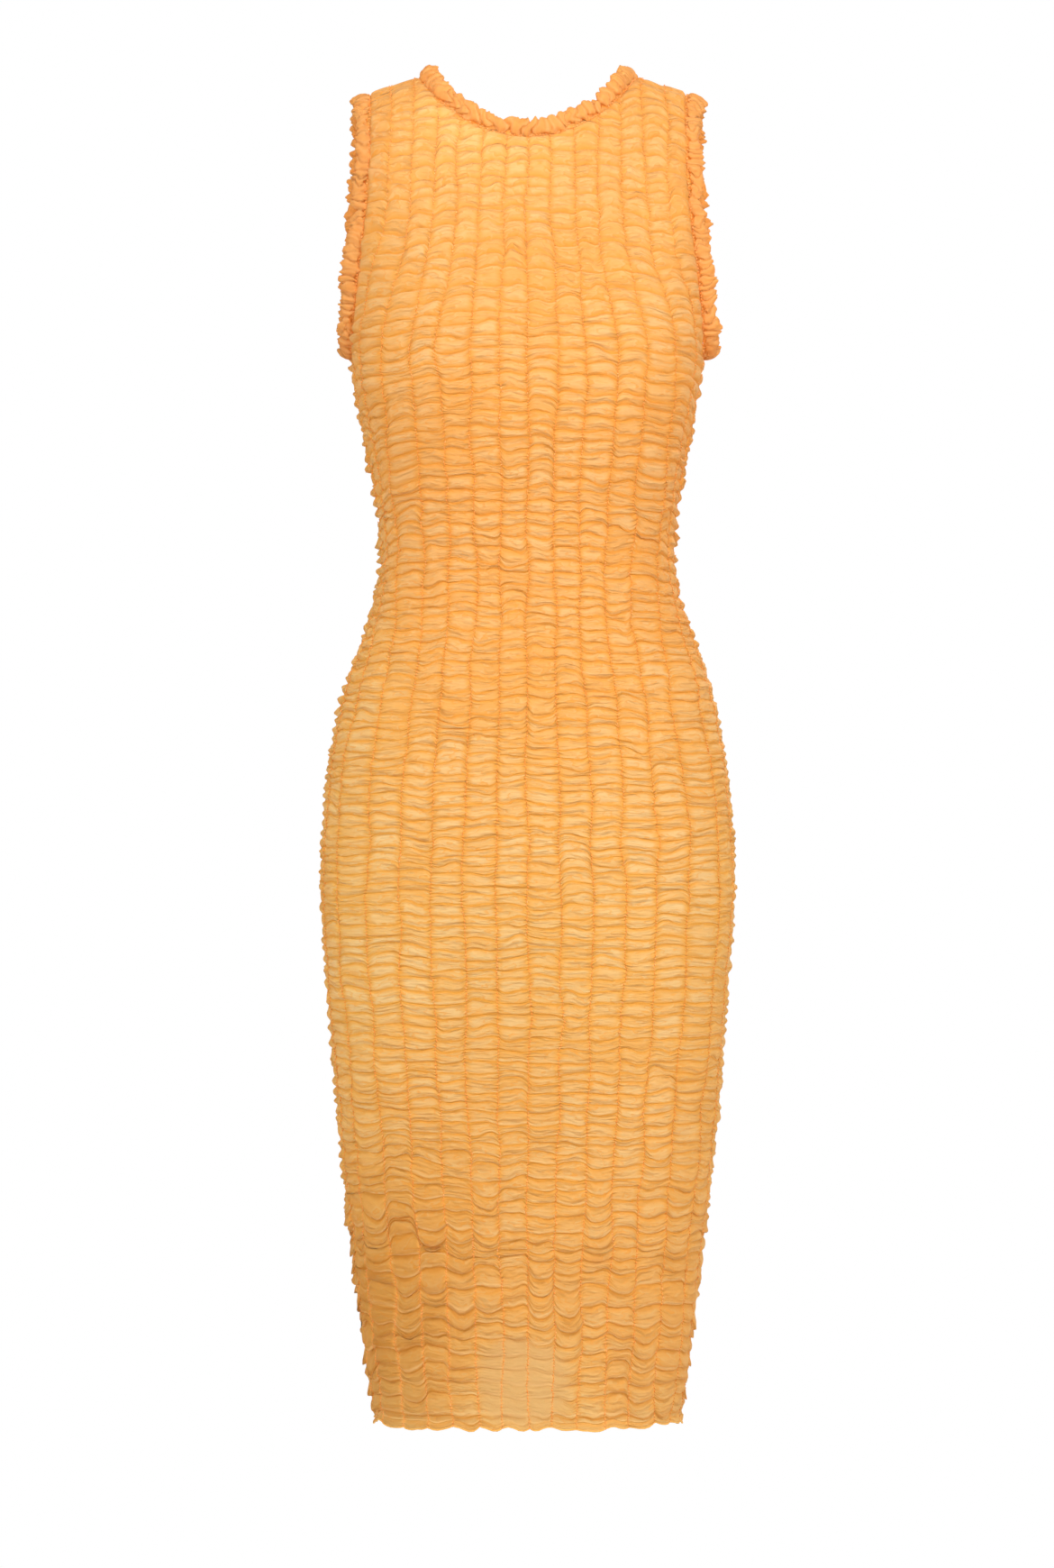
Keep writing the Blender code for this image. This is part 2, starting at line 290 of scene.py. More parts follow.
    def ridge_down(self, side: Side, column: np.ndarray) -> np.ndarray:
        """How far down the cloth the shoulder's ridge lies at each column.

        Args:
            side: Which panel's.
            column: Smocked columns from the centre line.

        Returns:
            Millimetres down the cloth.
        """
        share = np.abs(column) / self.half_columns
        down = np.full(np.shape(column), self.cap_height - self.cap_length)
        for _ in range(6):  # each round brings it closer
            x = self.ring_point(side, share, down)[0]
            down = self.ridge_drop(x) + self.cap_height - self.cap_length
        return down

    def down_to(self, x: float, drop: float) -> float:
        """How far down the cloth a point lies that is at x and at that drop.

        Args:
            x: Millimetres from the centre line.
            drop: Millimetres below the origin.

        Returns:
            Millimetres down the cloth.
        """
        base = float(self.ridge_drop(np.array(x))) + self.cap_height
        if drop >= base:
            return drop
        turn = math.asin(min(1.0, (base - drop) / self.cap_height))
        return base - self.cap_length * turn / (math.pi / 2)

    def neck_places(self, side: Side, count: int) -> np.ndarray:
        """Places along a panel's neckline, from the right shoulder's ridge to the left's.

        The neckline is an arc as seen from the front.

        Args:
            side: Which panel's.
            count: How many steps it has.

        Returns:
            One row of column and down for each place.
        """
        ridge = float(self.ridge_drop(np.array(self.neck_edge_half)))
        dip = (self.front_neck_drop if side is Side.FRONT else self.back_neck_drop) - ridge
        radius = (self.neck_edge_half**2 + dip**2) / (2 * dip)
        angles = np.linspace(-1, 1, count + 1) * math.asin(self.neck_edge_half / radius)
        shares = np.linspace(0, 1, self.ring_shares)
        places = []
        for angle in angles:
            x = radius * math.sin(angle)
            drop = ridge + dip - radius * (1 - math.cos(angle))
            xs = self.ring_point(side, shares, np.full(self.ring_shares, drop))[0]
            share = np.interp(abs(x), xs, shares)
            places.append((math.copysign(self.half_columns * share, x), self.down_to(x, drop)))
        return np.array(places)

    def armhole_places(self, step: float) -> tuple[np.ndarray, np.ndarray]:
        """Places round the left armhole, from the shoulder down its front and up its back.

        Args:
            step: Their spacing on the pattern.

        Returns:
            The places on the front, and those on the back. Both hold the underarm's.
        """
        rows = [(-front, down) for down, front, _ in self.armhole]
        rows += [(back, down) for down, _, back in reversed(self.armhole[:-1])]
        points = np.array([(q * self.column_on_pattern, down) for q, down in rows])
        along = np.concatenate([[0], np.cumsum(np.linalg.norm(np.diff(points, axis=0), axis=1))])
        count = round(along[-1] / step / 2)
        spots = np.linspace(0, along[-1], 2 * count + 1)
        q = smooth_values(along, points[:, 0], spots) / self.column_on_pattern
        down = smooth_values(along, points[:, 1], spots)
        places = np.column_stack([self.half_columns - np.abs(q), down])
        return places[: count + 1], places[count:]

    def on_pattern(self, places: np.ndarray) -> np.ndarray:
        """Places laid out flat, in millimetres both ways."""
        return places * np.array([self.column_on_pattern, 1.0])


# --------------------------------------
# Meshes


def linked(name: str, data: bpy.types.ID) -> bpy.types.Object:
    """An object of that data in the scene, at the origin.

    Args:
        name: Its name.
        data: What it shows.

    Returns:
        The object.
    """
    made = bpy.data.objects.new(name, data)
    bpy.context.scene.collection.objects.link(made)
    return made


def mesh_object(name: str, points: np.ndarray, faces: Sequence[Sequence[int]]) -> bpy.types.Object:
    """A smooth-shaded object in the scene.

    Args:
        name: Its name.
        points: Its vertices, in metres.
        faces: Indices of each face's corners.

    Returns:
        The object, at the origin.
    """
    data = bpy.data.meshes.new(name)
    data.from_pydata([tuple(p) for p in points], [], [tuple(f) for f in faces])
    data.shade_smooth()
    return linked(name, data)


def line_object(name: str, points: np.ndarray, edges: Sequence[tuple[int, int]]) -> bpy.types.Object:
    """An object of bare edges in the scene, for thread to follow, with its points in metres.

    Args:
        name: Its name.
        points: Its points, in metres.
        edges: Indices of each edge's two ends.

    Returns:
        The object.
    """
    data = bpy.data.meshes.new(name)
    data.from_pydata([tuple(p) for p in points], edges, [])
    return linked(name, data)


def add_uv(piece: bpy.types.Object, name: str, corner_uv: np.ndarray) -> None:
    """Gives a mesh a UV map from an array of one pair for each face corner."""
    layer = piece.data.uv_layers.new(name=name)
    layer.data.foreach_set("uv", corner_uv.astype(np.float32).ravel())


def add_floats(piece: bpy.types.Object, name: str, values: np.ndarray) -> None:
    """Gives a mesh a float attribute on its points."""
    attribute = piece.data.attributes.new(name, "FLOAT", "POINT")
    attribute.data.foreach_set("value", values.astype(np.float32).ravel())


def dress_piece(piece: bpy.types.Object, slot: Slot, replaces: Iterable[str] = ()) -> None:
    """Lets a finished piece ride on the dress.

    Args:
        piece: The piece, in place.
        slot: Not used. The material slot of the record that it would take its finish from.
        replaces: The solids that it stands for.
    """
    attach(piece, BODY)
    if replaces:
        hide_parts(*replaces)
    LOG.info("%s: %d faces", piece.name, len(piece.data.polygons))


# --------------------------------------
# Nodes


class Value:
    """A shader socket worked with as a number: an expression on values adds its Math nodes."""

    def __init__(self, sheet: "NodeSheet", socket: bpy.types.NodeSocket) -> None:
        """Wraps one output socket."""
        self.sheet = sheet
        self.socket = socket

    def _math(self, operation: str, *operands: "Value | float") -> "Value":
        """The result of one Math node on the operands."""
        node = self.sheet.node("ShaderNodeMath", {"operation": operation}, dict(enumerate(operands)))
        return Value(self.sheet, node.outputs[0])

    def __add__(self, other: "Value | float") -> "Value":
        """Self plus other."""
        return self._math("ADD", self, other)

    __radd__ = __add__

    def __sub__(self, other: "Value | float") -> "Value":
        """Self minus other."""
        return self._math("SUBTRACT", self, other)

    def __rsub__(self, other: "Value | float") -> "Value":
        """Other minus self."""
        return self._math("SUBTRACT", other, self)

    def __mul__(self, other: "Value | float") -> "Value":
        """Self times other."""
        return self._math("MULTIPLY", self, other)

    __rmul__ = __mul__

    def __abs__(self) -> "Value":
        """Self without its sign."""
        return self._math("ABSOLUTE", self)

    def fraction(self) -> "Value":
        """What is left over a whole number."""
        return self._math("FRACT", self)

    def whole(self) -> "Value":
        """The whole number below."""
        return self._math("FLOOR", self)

    def sine(self) -> "Value":
        """The sine of self in radians."""
        return self._math("SINE", self)

    def ramp(self, low: float, high: float, at_low: float = 0.0, at_high: float = 1.0) -> "Value":
        """Goes smoothly from at_low where self is low to at_high where it is high.

        Args:
            low: Where the rise starts.
            high: Where it ends.
            at_low: The result up to low.
            at_high: The result from high on.

        Returns:
            The result.
        """
        node = self.sheet.node(
            "ShaderNodeMapRange",
            {"interpolation_type": "SMOOTHSTEP"},
            {"Value": self, "From Min": low, "From Max": high, "To Min": at_low, "To Max": at_high},
        )
        return Value(self.sheet, node.outputs["Result"])


Colour = tuple[float, float, float]


class NodeMaker:
    """Adds nodes to one tree."""

    def __init__(self, tree: bpy.types.NodeTree) -> None:
        """Works on that tree."""
        self.tree = tree

    def node(
        self,
        kind: str,
        settings: dict[str, Any] | None = None,
        inputs: dict[Any, Any] | None = None,
    ) -> bpy.types.Node:
        """Adds a node.

        Args:
            kind: The node's type.
            settings: Its own settings, such as a Math node's operation, which are set first.
            inputs: Values or links of its sockets, by name or index.

        Returns:
            The node.
        """
        made = self.tree.nodes.new(kind)
        for name, value in (settings or {}).items():
            setattr(made, name, value)
        self.fill(made, inputs or {})
        return made

    def fill(self, node: bpy.types.Node, inputs: dict[Any, Any]) -> None:
        """Sets or links a node's sockets.

        Args:
            node: The node.
            inputs: Values or links, by name or index. A colour leaves out its alpha.
        """
        for key, value in inputs.items():
            socket = node.inputs[key]
            if isinstance(value, Value):
                value = value.socket
            if isinstance(value, bpy.types.NodeSocket):
                self.tree.links.new(value, socket)
            elif isinstance(value, tuple) and len(value) == 3 and socket.type == "RGBA":
                socket.default_value = (*value, 1.0)
            else:
                socket.default_value = value


class NodeSheet(NodeMaker):
    """The nodes of one material."""

    def __init__(self, name: str) -> None:
        """An empty material of that name.

        Args:
            name: The material's name.
        """
        self.material = bpy.data.materials.new(name)
        self.material.use_nodes = True
        super().__init__(self.material.node_tree)
        self.tree.nodes.clear()

    def mix(self, share: Value | float, a: Any, b: Any, blend: str = "MIX") -> bpy.types.NodeSocket:
        """A colour between a, where share is 0, and b or their blend, where it is 1.

        Args:
            share: How far the colour is b's.
            a: The first colour.
            b: The second colour.
            blend: How b is laid over a.

        Returns:
            The colour.
        """
        settings = {"data_type": "RGBA", "clamp_factor": True, "blend_type": blend}
        made = self.node("ShaderNodeMix", settings, {0: share, 6: a, 7: b})
        return made.outputs[2]

    def uv(self, name: str) -> tuple[Value, Value, bpy.types.NodeSocket]:
        """A UV map's two numbers, and its vector.

        Args:
            name: The map's name.

        Returns:
            The two numbers and the vector.
        """
        vector = self.node("ShaderNodeUVMap", {"uv_map": name}).outputs["UV"]
        parts = self.node("ShaderNodeSeparateXYZ", None, {0: vector})
        return Value(self, parts.outputs["X"]), Value(self, parts.outputs["Y"]), vector

    def vector(self, x: Value, y: Value) -> bpy.types.NodeSocket:
        """A vector in the plane."""
        return self.node("ShaderNodeCombineXYZ", None, {0: x, 1: y}).outputs[0]

    def noise(self, vector: Any, scale: float, detail: float = 2.0, roughness: float = 0.5) -> Value:
        """Noise from 0 to 1 over a vector."""
        inputs = {"Vector": vector, "Scale": scale, "Detail": detail, "Roughness": roughness}
        return Value(self, self.node("ShaderNodeTexNoise", None, inputs).outputs["Fac"])

    def grain(
        self, x: Value, y: Value, cells: tuple[float, float], detail: float, roughness: float
    ) -> Value:
        """Noise drawn out one way.

        Args:
            x: Metres across the cloth.
            y: Metres along it.
            cells: How many cells a metre it has across and along.
            detail: The noise's detail.
            roughness: The noise's roughness.

        Returns:
            The noise, from 0 to 1.
        """
        return self.noise(self.vector(x * cells[0], y * cells[1]), 1.0, detail, roughness)

    def chance(self, x: Value, y: Value) -> Value:
        """A number from 0 to 1 that is random for each pair.

        Args:
            x: The pair's first number.
            y: Its second.

        Returns:
            The random number.
        """
        inputs = {"Vector": self.vector(x, y)}
        made = self.node("ShaderNodeTexWhiteNoise", {"noise_dimensions": "2D"}, inputs)
        return Value(self, made.outputs["Value"])

    def floats(self, name: str) -> Value:
        """A float attribute."""
        return Value(self, self.node("ShaderNodeAttribute", {"attribute_name": name}).outputs["Fac"])

    def object_place(self) -> bpy.types.NodeSocket:
        """Object coordinates."""
        return self.node("ShaderNodeTexCoord").outputs["Object"]

    def bump(self, height: Value, distance: float) -> bpy.types.NodeSocket:
        """A normal raised by height times distance, which is in metres."""
        inputs = {"Height": height, "Distance": distance}
        return self.node("ShaderNodeBump", None, inputs).outputs["Normal"]

    def finish(self, shader: bpy.types.NodeSocket) -> bpy.types.Material:
        """Ends the tree at a shader, and returns the material."""
        self.node("ShaderNodeOutputMaterial", None, {"Surface": shader})
        return self.material


# --------------------------------------
# Finishes


@dataclass(frozen=True)
class Chiffon:
    """Sheer matt cloth: lit colour where it is one layer, deep where it is gathered up on itself.

    Its patterns count their cells a metre, across the cloth and along it where there are two numbers.
    """

    name: str
    middle: Colour
    pale: Colour
    deep: Colour
    shade: Colour
    bare: Colour = (0.80, 0.50, 0.215)  # one flat layer
    slack: Colour = (1.0, 1.36, 1.58)  # times the colour, where the cloth is loose
    dusk: Colour = (0.52, 0.47, 0.28)  # times the colour, where painted shade darkens it
    glow: Colour = (0.92, 0.57, 0.20)  # of the light that comes through
    glow_share: float = 0.52
    roughness: float = 0.78
    specular: float = 0.25
    sheen: float = 0.15
    sheen_roughness: float = 0.45
    sheen_tint: Colour = (1.0, 0.86, 0.68)
    blotch_cells: float = 14.0
    drift_cells: float = 90.0
    streak_cells: tuple[float, float] = (65.0, 210.0)
    layer_cells: tuple[float, float] = (44.0, 100.0)
    crinkle_cells: tuple[float, float] = (260.0, 700.0)
    gather_pitch: float = 0.0044  # of the finest gathers along a seam, in metres of flat cloth
    relief: float = 1.4 * MM
    ruche_streak_cells: tuple[float, float] = (520.0, 90.0)
    ruche_grain_cells: float = 2100.0
    ruche_relief: float = 1.0 * MM

    def surface(self, sheet: NodeSheet, colour: Any, normal: Any) -> bpy.types.Material:
        """Ends a sheet with this cloth's matt surface and the light that comes through it.

        Args:
            sheet: The material's nodes.
            colour: The cloth's colour.
            normal: Its bumped normal.

        Returns:
            The material.
        """
        cloth = sheet.node(
            "ShaderNodeBsdfPrincipled",
            None,
            {
                "Base Color": colour,
                "Roughness": self.roughness,
                "Specular IOR Level": self.specular,
                "Sheen Weight": self.sheen,
                "Sheen Roughness": self.sheen_roughness,
                "Sheen Tint": self.sheen_tint,
                "Normal": normal,
            },
        )
        through = sheet.node("ShaderNodeBsdfTranslucent", None, {"Color": self.glow, "Normal": normal})
        layers = {0: self.glow_share, 1: cloth.outputs[0], 2: through.outputs[0]}
        return sheet.finish(sheet.node("ShaderNodeMixShader", None, layers).outputs[0])

    def shirred(self) -> bpy.types.Material:
        """The panels' cloth: pale on the puffs, deep along the seams, creased between the puffs, with
        painted shade in the creases and towards the hem, and painted highlights on the puffs' edges.

        Returns:
            The material.
        """
        sheet = NodeSheet(self.name)
        u, v, _ = sheet.uv(PUFF_UV)
        x, y, cloth = sheet.uv(CLOTH_UV)
        depth, lap, taut, gold, dusk = (sheet.floats(name) for name in PANEL_FLOATS)
        blotch = sheet.noise(sheet.object_place(), self.blotch_cells, 2.0)
        edge = 0.5 - abs(u.fraction() - 0.5)  # 0 on a seam to 0.5 between two
        along = v.fraction()
        fold = 0.5 - abs(along - 0.5)  # 0 in a gather to 0.5 on the puff
        tone = sheet.chance(u.whole(), v.whole())  # each puff's own
        drift = sheet.noise(cloth, self.drift_cells, 3.0)
        streaks = sheet.grain(x, y, self.streak_cells, 4.0, 0.62)
        layers = (sheet.grain(x, y, self.layer_cells, 2.0, 0.5) * 5.0 + 0.35 * tone).fraction()
        crinkles = sheet.grain(x, y, self.crinkle_cells, 2.0, 0.6)
        gathers = (y * (2 * math.pi / self.gather_pitch) + 10.0 * drift + 4.0 * tone).sine()

        drawn = lap.ramp(-0.4, 0.3, 0.3, 1.0)  # how tightly the seams draw the cloth in
        seam = edge.ramp(0.0, 0.04, 1.0, 0.0) * drawn
        near_seam = edge.ramp(0.0, 0.14, 1.0, 0.0) * drawn
        crease = fold.ramp(0.0, 0.07, 1.0, 0.0) * depth
        # painted highlights: paler bands just below and just above each gather
        lower = along.ramp(0.62, 0.76) * along.ramp(0.80, 0.92, 1.0, 0.0) * lap.ramp(0.45, 1.0)
        upper = along.ramp(0.04, 0.14) * along.ramp(0.14, 0.26, 1.0, 0.0) * lap.ramp(0.0, 0.55, 1.0, 0.0)
        rim_highlights = (lower + upper) * depth  # painted highlights on the puffs' lit edges
        # painted highlight along the crest of each fine fold line
        layer_highlight = layers.ramp(0.72, 0.90) * layers.ramp(0.90, 0.99, 1.0, 0.0)
        under = layers.ramp(0.0, 0.22, 1.0, 0.0)
        bare = taut.ramp(0.85, 1.15)
        middle = edge.ramp(0.04, 0.26) * (1 - depth * fold.ramp(0.08, 0.34, 1.0, 0.0))

        sheer = middle * (0.45 + 0.75 * tone) * streaks.ramp(0.25, 0.55, 0.35, 1.0) * (0.4 + 1.2 * taut)
        sheer = sheer * blotch.ramp(0.32, 0.58, 0.45, 1.0)
        colour = sheet.mix(sheer * 0.85, self.middle, self.pale)
        colour = sheet.mix(rim_highlights + layer_highlight * 0.6, colour, self.pale)
        colour = sheet.mix(under * 0.7, colour, self.deep)
        colour = sheet.mix(fold.ramp(0.0, 0.16, 1.0, 0.0) * depth * 0.9, colour, self.deep)
        colour = sheet.mix(bare * 0.85, colour, self.bare)
        colour = sheet.mix(near_seam * (0.16 + 0.22 * gathers) + seam * 0.60, colour, self.deep)
        shaded = crease * drift * lap.ramp(-0.5, 0.2, 0.45, 0.16) * (1 - 0.7 * seam)
        colour = sheet.mix(shaded, colour, self.shade)
        tinted = sheet.mix(1.0, colour, self.slack, "MULTIPLY")
        colour = sheet.mix(gold, colour, tinted)
        # painted shade: the colour darkened where the patches ask for it, less on the seams and the
        # painted rim highlights
        shaded_colour = sheet.mix(1.0, colour, self.dusk, "MULTIPLY")
        colour = sheet.mix(dusk * (1 - 0.75 * near_seam) * (1 - 0.7 * rim_highlights), colour, shaded_colour)

        height = 0.35 * streaks + 0.85 * layers + 0.20 * gathers * near_seam
        height = height - 0.20 * crease + 0.22 * crinkles
        return self.surface(sheet, colour, sheet.bump(height * (1 - 0.6 * bare), self.relief))

    def ruched(self) -> bpy.types.Material:
        """The bindings' cloth: folds across the tube, with painted shade in the creases between them and
        painted highlights on their lips.

        Returns:
            The material.
        """
        sheet = NodeSheet(self.name)
        u, _, _ = sheet.uv(PUFF_UV)
        x, y, cloth = sheet.uv(CLOTH_UV)
        fold = 0.5 - abs(u.fraction() - 0.5)
        tone = sheet.chance(u.whole(), u.whole())
        streaks = sheet.grain(x, y, self.ruche_streak_cells, 3.0, 0.6)
        grain = sheet.noise(cloth, self.ruche_grain_cells, 1.0)
        crease = fold.ramp(0.0, 0.16, 1.0, 0.0)
        lip_highlight = fold.ramp(0.08, 0.2, 0.0, 1.0) * fold.ramp(0.2, 0.36, 1.0, 0.0)
        colour = sheet.mix(0.25 * tone + 0.25 * streaks, self.middle, self.deep)
        # painted highlight along each fold's lip
        colour = sheet.mix(lip_highlight * 0.35, colour, self.pale)
        # painted shade in the creases
        colour = sheet.mix(crease * (0.10 + 0.25 * streaks), colour, self.shade)
        height = 0.55 * streaks - 0.35 * crease + 0.10 * grain
        return self.surface(sheet, colour, sheet.bump(height, self.ruche_relief))


@dataclass(frozen=True)
class Thread:
    """Spun thread, with a fleck of light here and there."""

    name: str
    colour: Colour
    bright: Colour
    roughness: float = 0.6
    specular: float = 0.3
    fleck_cells: float = 900.0  # a metre
    fibre_cells: float = 4200.0
    relief: float = 0.15 * MM

    def material(self) -> bpy.types.Material:
        """The thread's material.

        Returns:
            The material.
        """
        sheet = NodeSheet(self.name)
        place = sheet.object_place()
        fleck = sheet.noise(place, self.fleck_cells, 1.0)
        colour = sheet.mix(fleck.ramp(0.45, 0.75), self.colour, self.bright)
        fibres = sheet.noise(place, self.fibre_cells, 1.0)
        thread = sheet.node(
            "ShaderNodeBsdfPrincipled",
            None,
            {
                "Base Color": colour,
                "Roughness": self.roughness,
                "Specular IOR Level": self.specular,
                "Normal": sheet.bump(fibres, self.relief),
            },
        )
        return sheet.finish(thread.outputs[0])


# --------------------------------------
# Smocked panels


def smooth_noise(
    rng: np.random.Generator, shape: tuple[int, int], cells: tuple[float, float], loop: bool = False
) -> np.ndarray:
    """A field of soft bumps, about as high as 1.

    Args:
        rng: Where its numbers are drawn.
        shape: The field's size.
        cells: How many bumps it has each way, about.
        loop: Whether its first axis meets its own start.

    Returns:
        The field.
    """
    coarse = [max(2, round(c)) for c in cells]
    grid = rng.normal(0.0, 1.0, (coarse[0] + 1, coarse[1] + 1))
    if loop:
        grid[-1] = grid[0]
    for axis in (0, 1):
        spots = np.linspace(0, coarse[axis], shape[axis])
        low = np.minimum(spots.astype(int), coarse[axis] - 1)
        t = spots - low
        t = t * t * (3 - 2 * t)
        t = t[:, None] if axis == 0 else t[None, :]
        grid = np.take(grid, low, axis) * (1 - t) + np.take(grid, low + 1, axis) * t
    return grid


@dataclass(frozen=True)
class Shirring:
    """How the gathers and puffs stand at one level, in millimetres."""

    drop: float
    pitch: float
    rise: float
    lean: float  # shift down the cloth for each millimetre of height; below 0, the puffs lap upwards
    arch: float  # how far a gather arches up between its two seams
    sweep: float  # how far the gathers sink from the centre line to the side seam
    faint: float  # share of the gathers that hardly show
    right_slack: float  # times the rise, at the dress's own right side seam
    left_slack: float
    wild: float  # how unruly the puffs are
    bridge: float  # how high the cloth still stands on a seam, of its rise


SHIRRING = (
    Shirring(-30, 10.0, 2.1, -0.80, 2.0, 0.0, 0.05, 1.2, 1.2, 0.4, 0.95),
    Shirring(60, 10.4, 2.8, -1.00, 2.5, 7.0, 0.05, 1.4, 1.3, 0.4, 0.97),
    Shirring(150, 10.2, 2.5, -0.80, 1.8, 14.0, 0.05, 1.9, 1.6, 0.3, 0.95),
    Shirring(230, 9.8, 1.9, -0.35, 1.0, 16.0, 0.06, 2.8, 2.2, 0.2, 0.88),
    Shirring(300, 9.6, 1.8, 0.00, 0.5, 15.0, 0.06, 3.0, 2.3, 0.1, 0.84),
    Shirring(370, 9.8, 1.9, 0.20, 0.3, 14.0, 0.06, 3.1, 2.4, 0.1, 0.84),
    Shirring(440, 9.6, 1.9, 0.20, 0.2, 10.0, 0.06, 2.9, 2.3, 0.1, 0.82),
    Shirring(500, 9.0, 1.7, 0.15, 0.1, 6.0, 0.06, 2.7, 2.2, 0.1, 0.80),
    Shirring(560, 8.4, 1.2, 0.10, 0.0, 2.0, 0.05, 2.8, 2.3, 0.0, 0.78),
    Shirring(650, 8.2, 1.05, 0.10, 0.0, 0.0, 0.04, 3.1, 2.6, 0.0, 0.78),
    Shirring(780, 8.2, 1.05, 0.15, 0.0, 0.0, 0.04, 3.3, 2.7, 0.0, 0.78),
    Shirring(880, 9.2, 1.5, 0.50, -0.8, -2.0, 0.06, 3.0, 2.4, 0.3, 0.76),
    Shirring(950, 10.8, 1.9, 0.90, -2.6, -4.0, 0.08, 2.6, 2.2, 1.0, 0.66),
    Shirring(1030, 12.0, 2.1, 1.00, -3.6, -4.0, 0.08, 2.3, 1.9, 1.3, 0.58),
    Shirring(1080, 11.4, 2.2, 0.90, -2.8, -2.0, 0.08, 2.1, 1.8, 0.9, 0.60),
    Shirring(1120, 10.0, 2.1, 0.35, -1.0, 0.0, 0.08, 1.6, 1.5, 0.3, 0.70),
)


class ShirringChart:
    """The shirring at any level."""

    def __init__(self, levels: Sequence[Shirring]) -> None:
        """Reads the levels' columns."""
        self.drops = np.array([level.drop for level in levels], float)
        self.levels = levels

    def at(self, name: str, down: np.ndarray | float) -> np.ndarray:
        """One of the shirring's sizes down the cloth."""
        return np.interp(down, self.drops, [getattr(level, name) for level in self.levels])


@dataclass(frozen=True)
class Patch:
    """A part of a panel that hangs in its own way: its middle and its reach both ways."""

    seam: float
    down: float
    half_seams: float
    half_down: float
    rise: float = 1.0  # times the puffs' height
    sheer: float = 0.0  # how much paler the stretched cloth looks
    wild: float = 0.0  # how much more unruly the puffs are
    gold: float = 0.0  # how golden the loose cloth looks
    dusk: float = 0.0  # how much painted shade darkens the cloth

    def share(self, seam: np.ndarray, down: np.ndarray) -> np.ndarray:
        """1 in the patch's middle to 0 well outside it.

        Args:
            seam: Seams from the centre line.
            down: Millimetres down the cloth.

        Returns:
            The share at each place.
        """
        across = np.abs((seam - self.seam) / self.half_seams) ** 3
        along = np.abs((down - self.down) / self.half_down) ** 3
        return np.exp(-(across + along))


@dataclass(frozen=True)
class Unevenness:
    """How unevenly a panel is gathered: spreads, as shares where they don't say millimetres."""

    pitch: float = 0.20
    least_rows: int = 3  # from one gather to the next
    least_gap: float = 0.36  # of the pitch, between two gathers on a seam
    shift_waves: float = 0.20  # of the pitch, gathers off their rows: in soft waves, and each by itself
    shift_each: float = 0.08
    jog_waves: float = 0.24  # the same for a column's gathers off the seams' own
    jog_each: float = 0.08
    jog_wild: float = 0.55  # more of it, where the puffs are unruly
    arch: float = 0.25
    arch_mm: float = 0.70
    tilt_mm: float = 0.8
    lopside: float = 0.20  # how far the puffs lean to one seam
    swell: float = 0.20  # of the puffs' heights
    swells: tuple[float, float] = (0.4, 1.8)  # from the flattest to the fullest
    depths: tuple[float, float] = (0.8, 1.0)  # of the gathers on the seams, as shares of the height
    faint_depths: tuple[float, float] = (0.3, 0.6)  # where they hardly show
    calm_depth: float = 0.35  # how much less so below the chest
    middle_depth: float = 0.92  # between two seams
    faint_middle: float = 0.4
    middle_spread: tuple[float, float] = (0.85, 1.15)
    crumple: float = 0.10  # small dents on the puffs, of their height
    sway_mm: float = 0.45  # slow swells of the whole cloth
    lean: float = 0.16
    lean_wild: float = 0.30
    seam_waves: float = 0.055  # how far the seams wander, in columns: slowly, and at each gather
    seam_each: float = 0.018


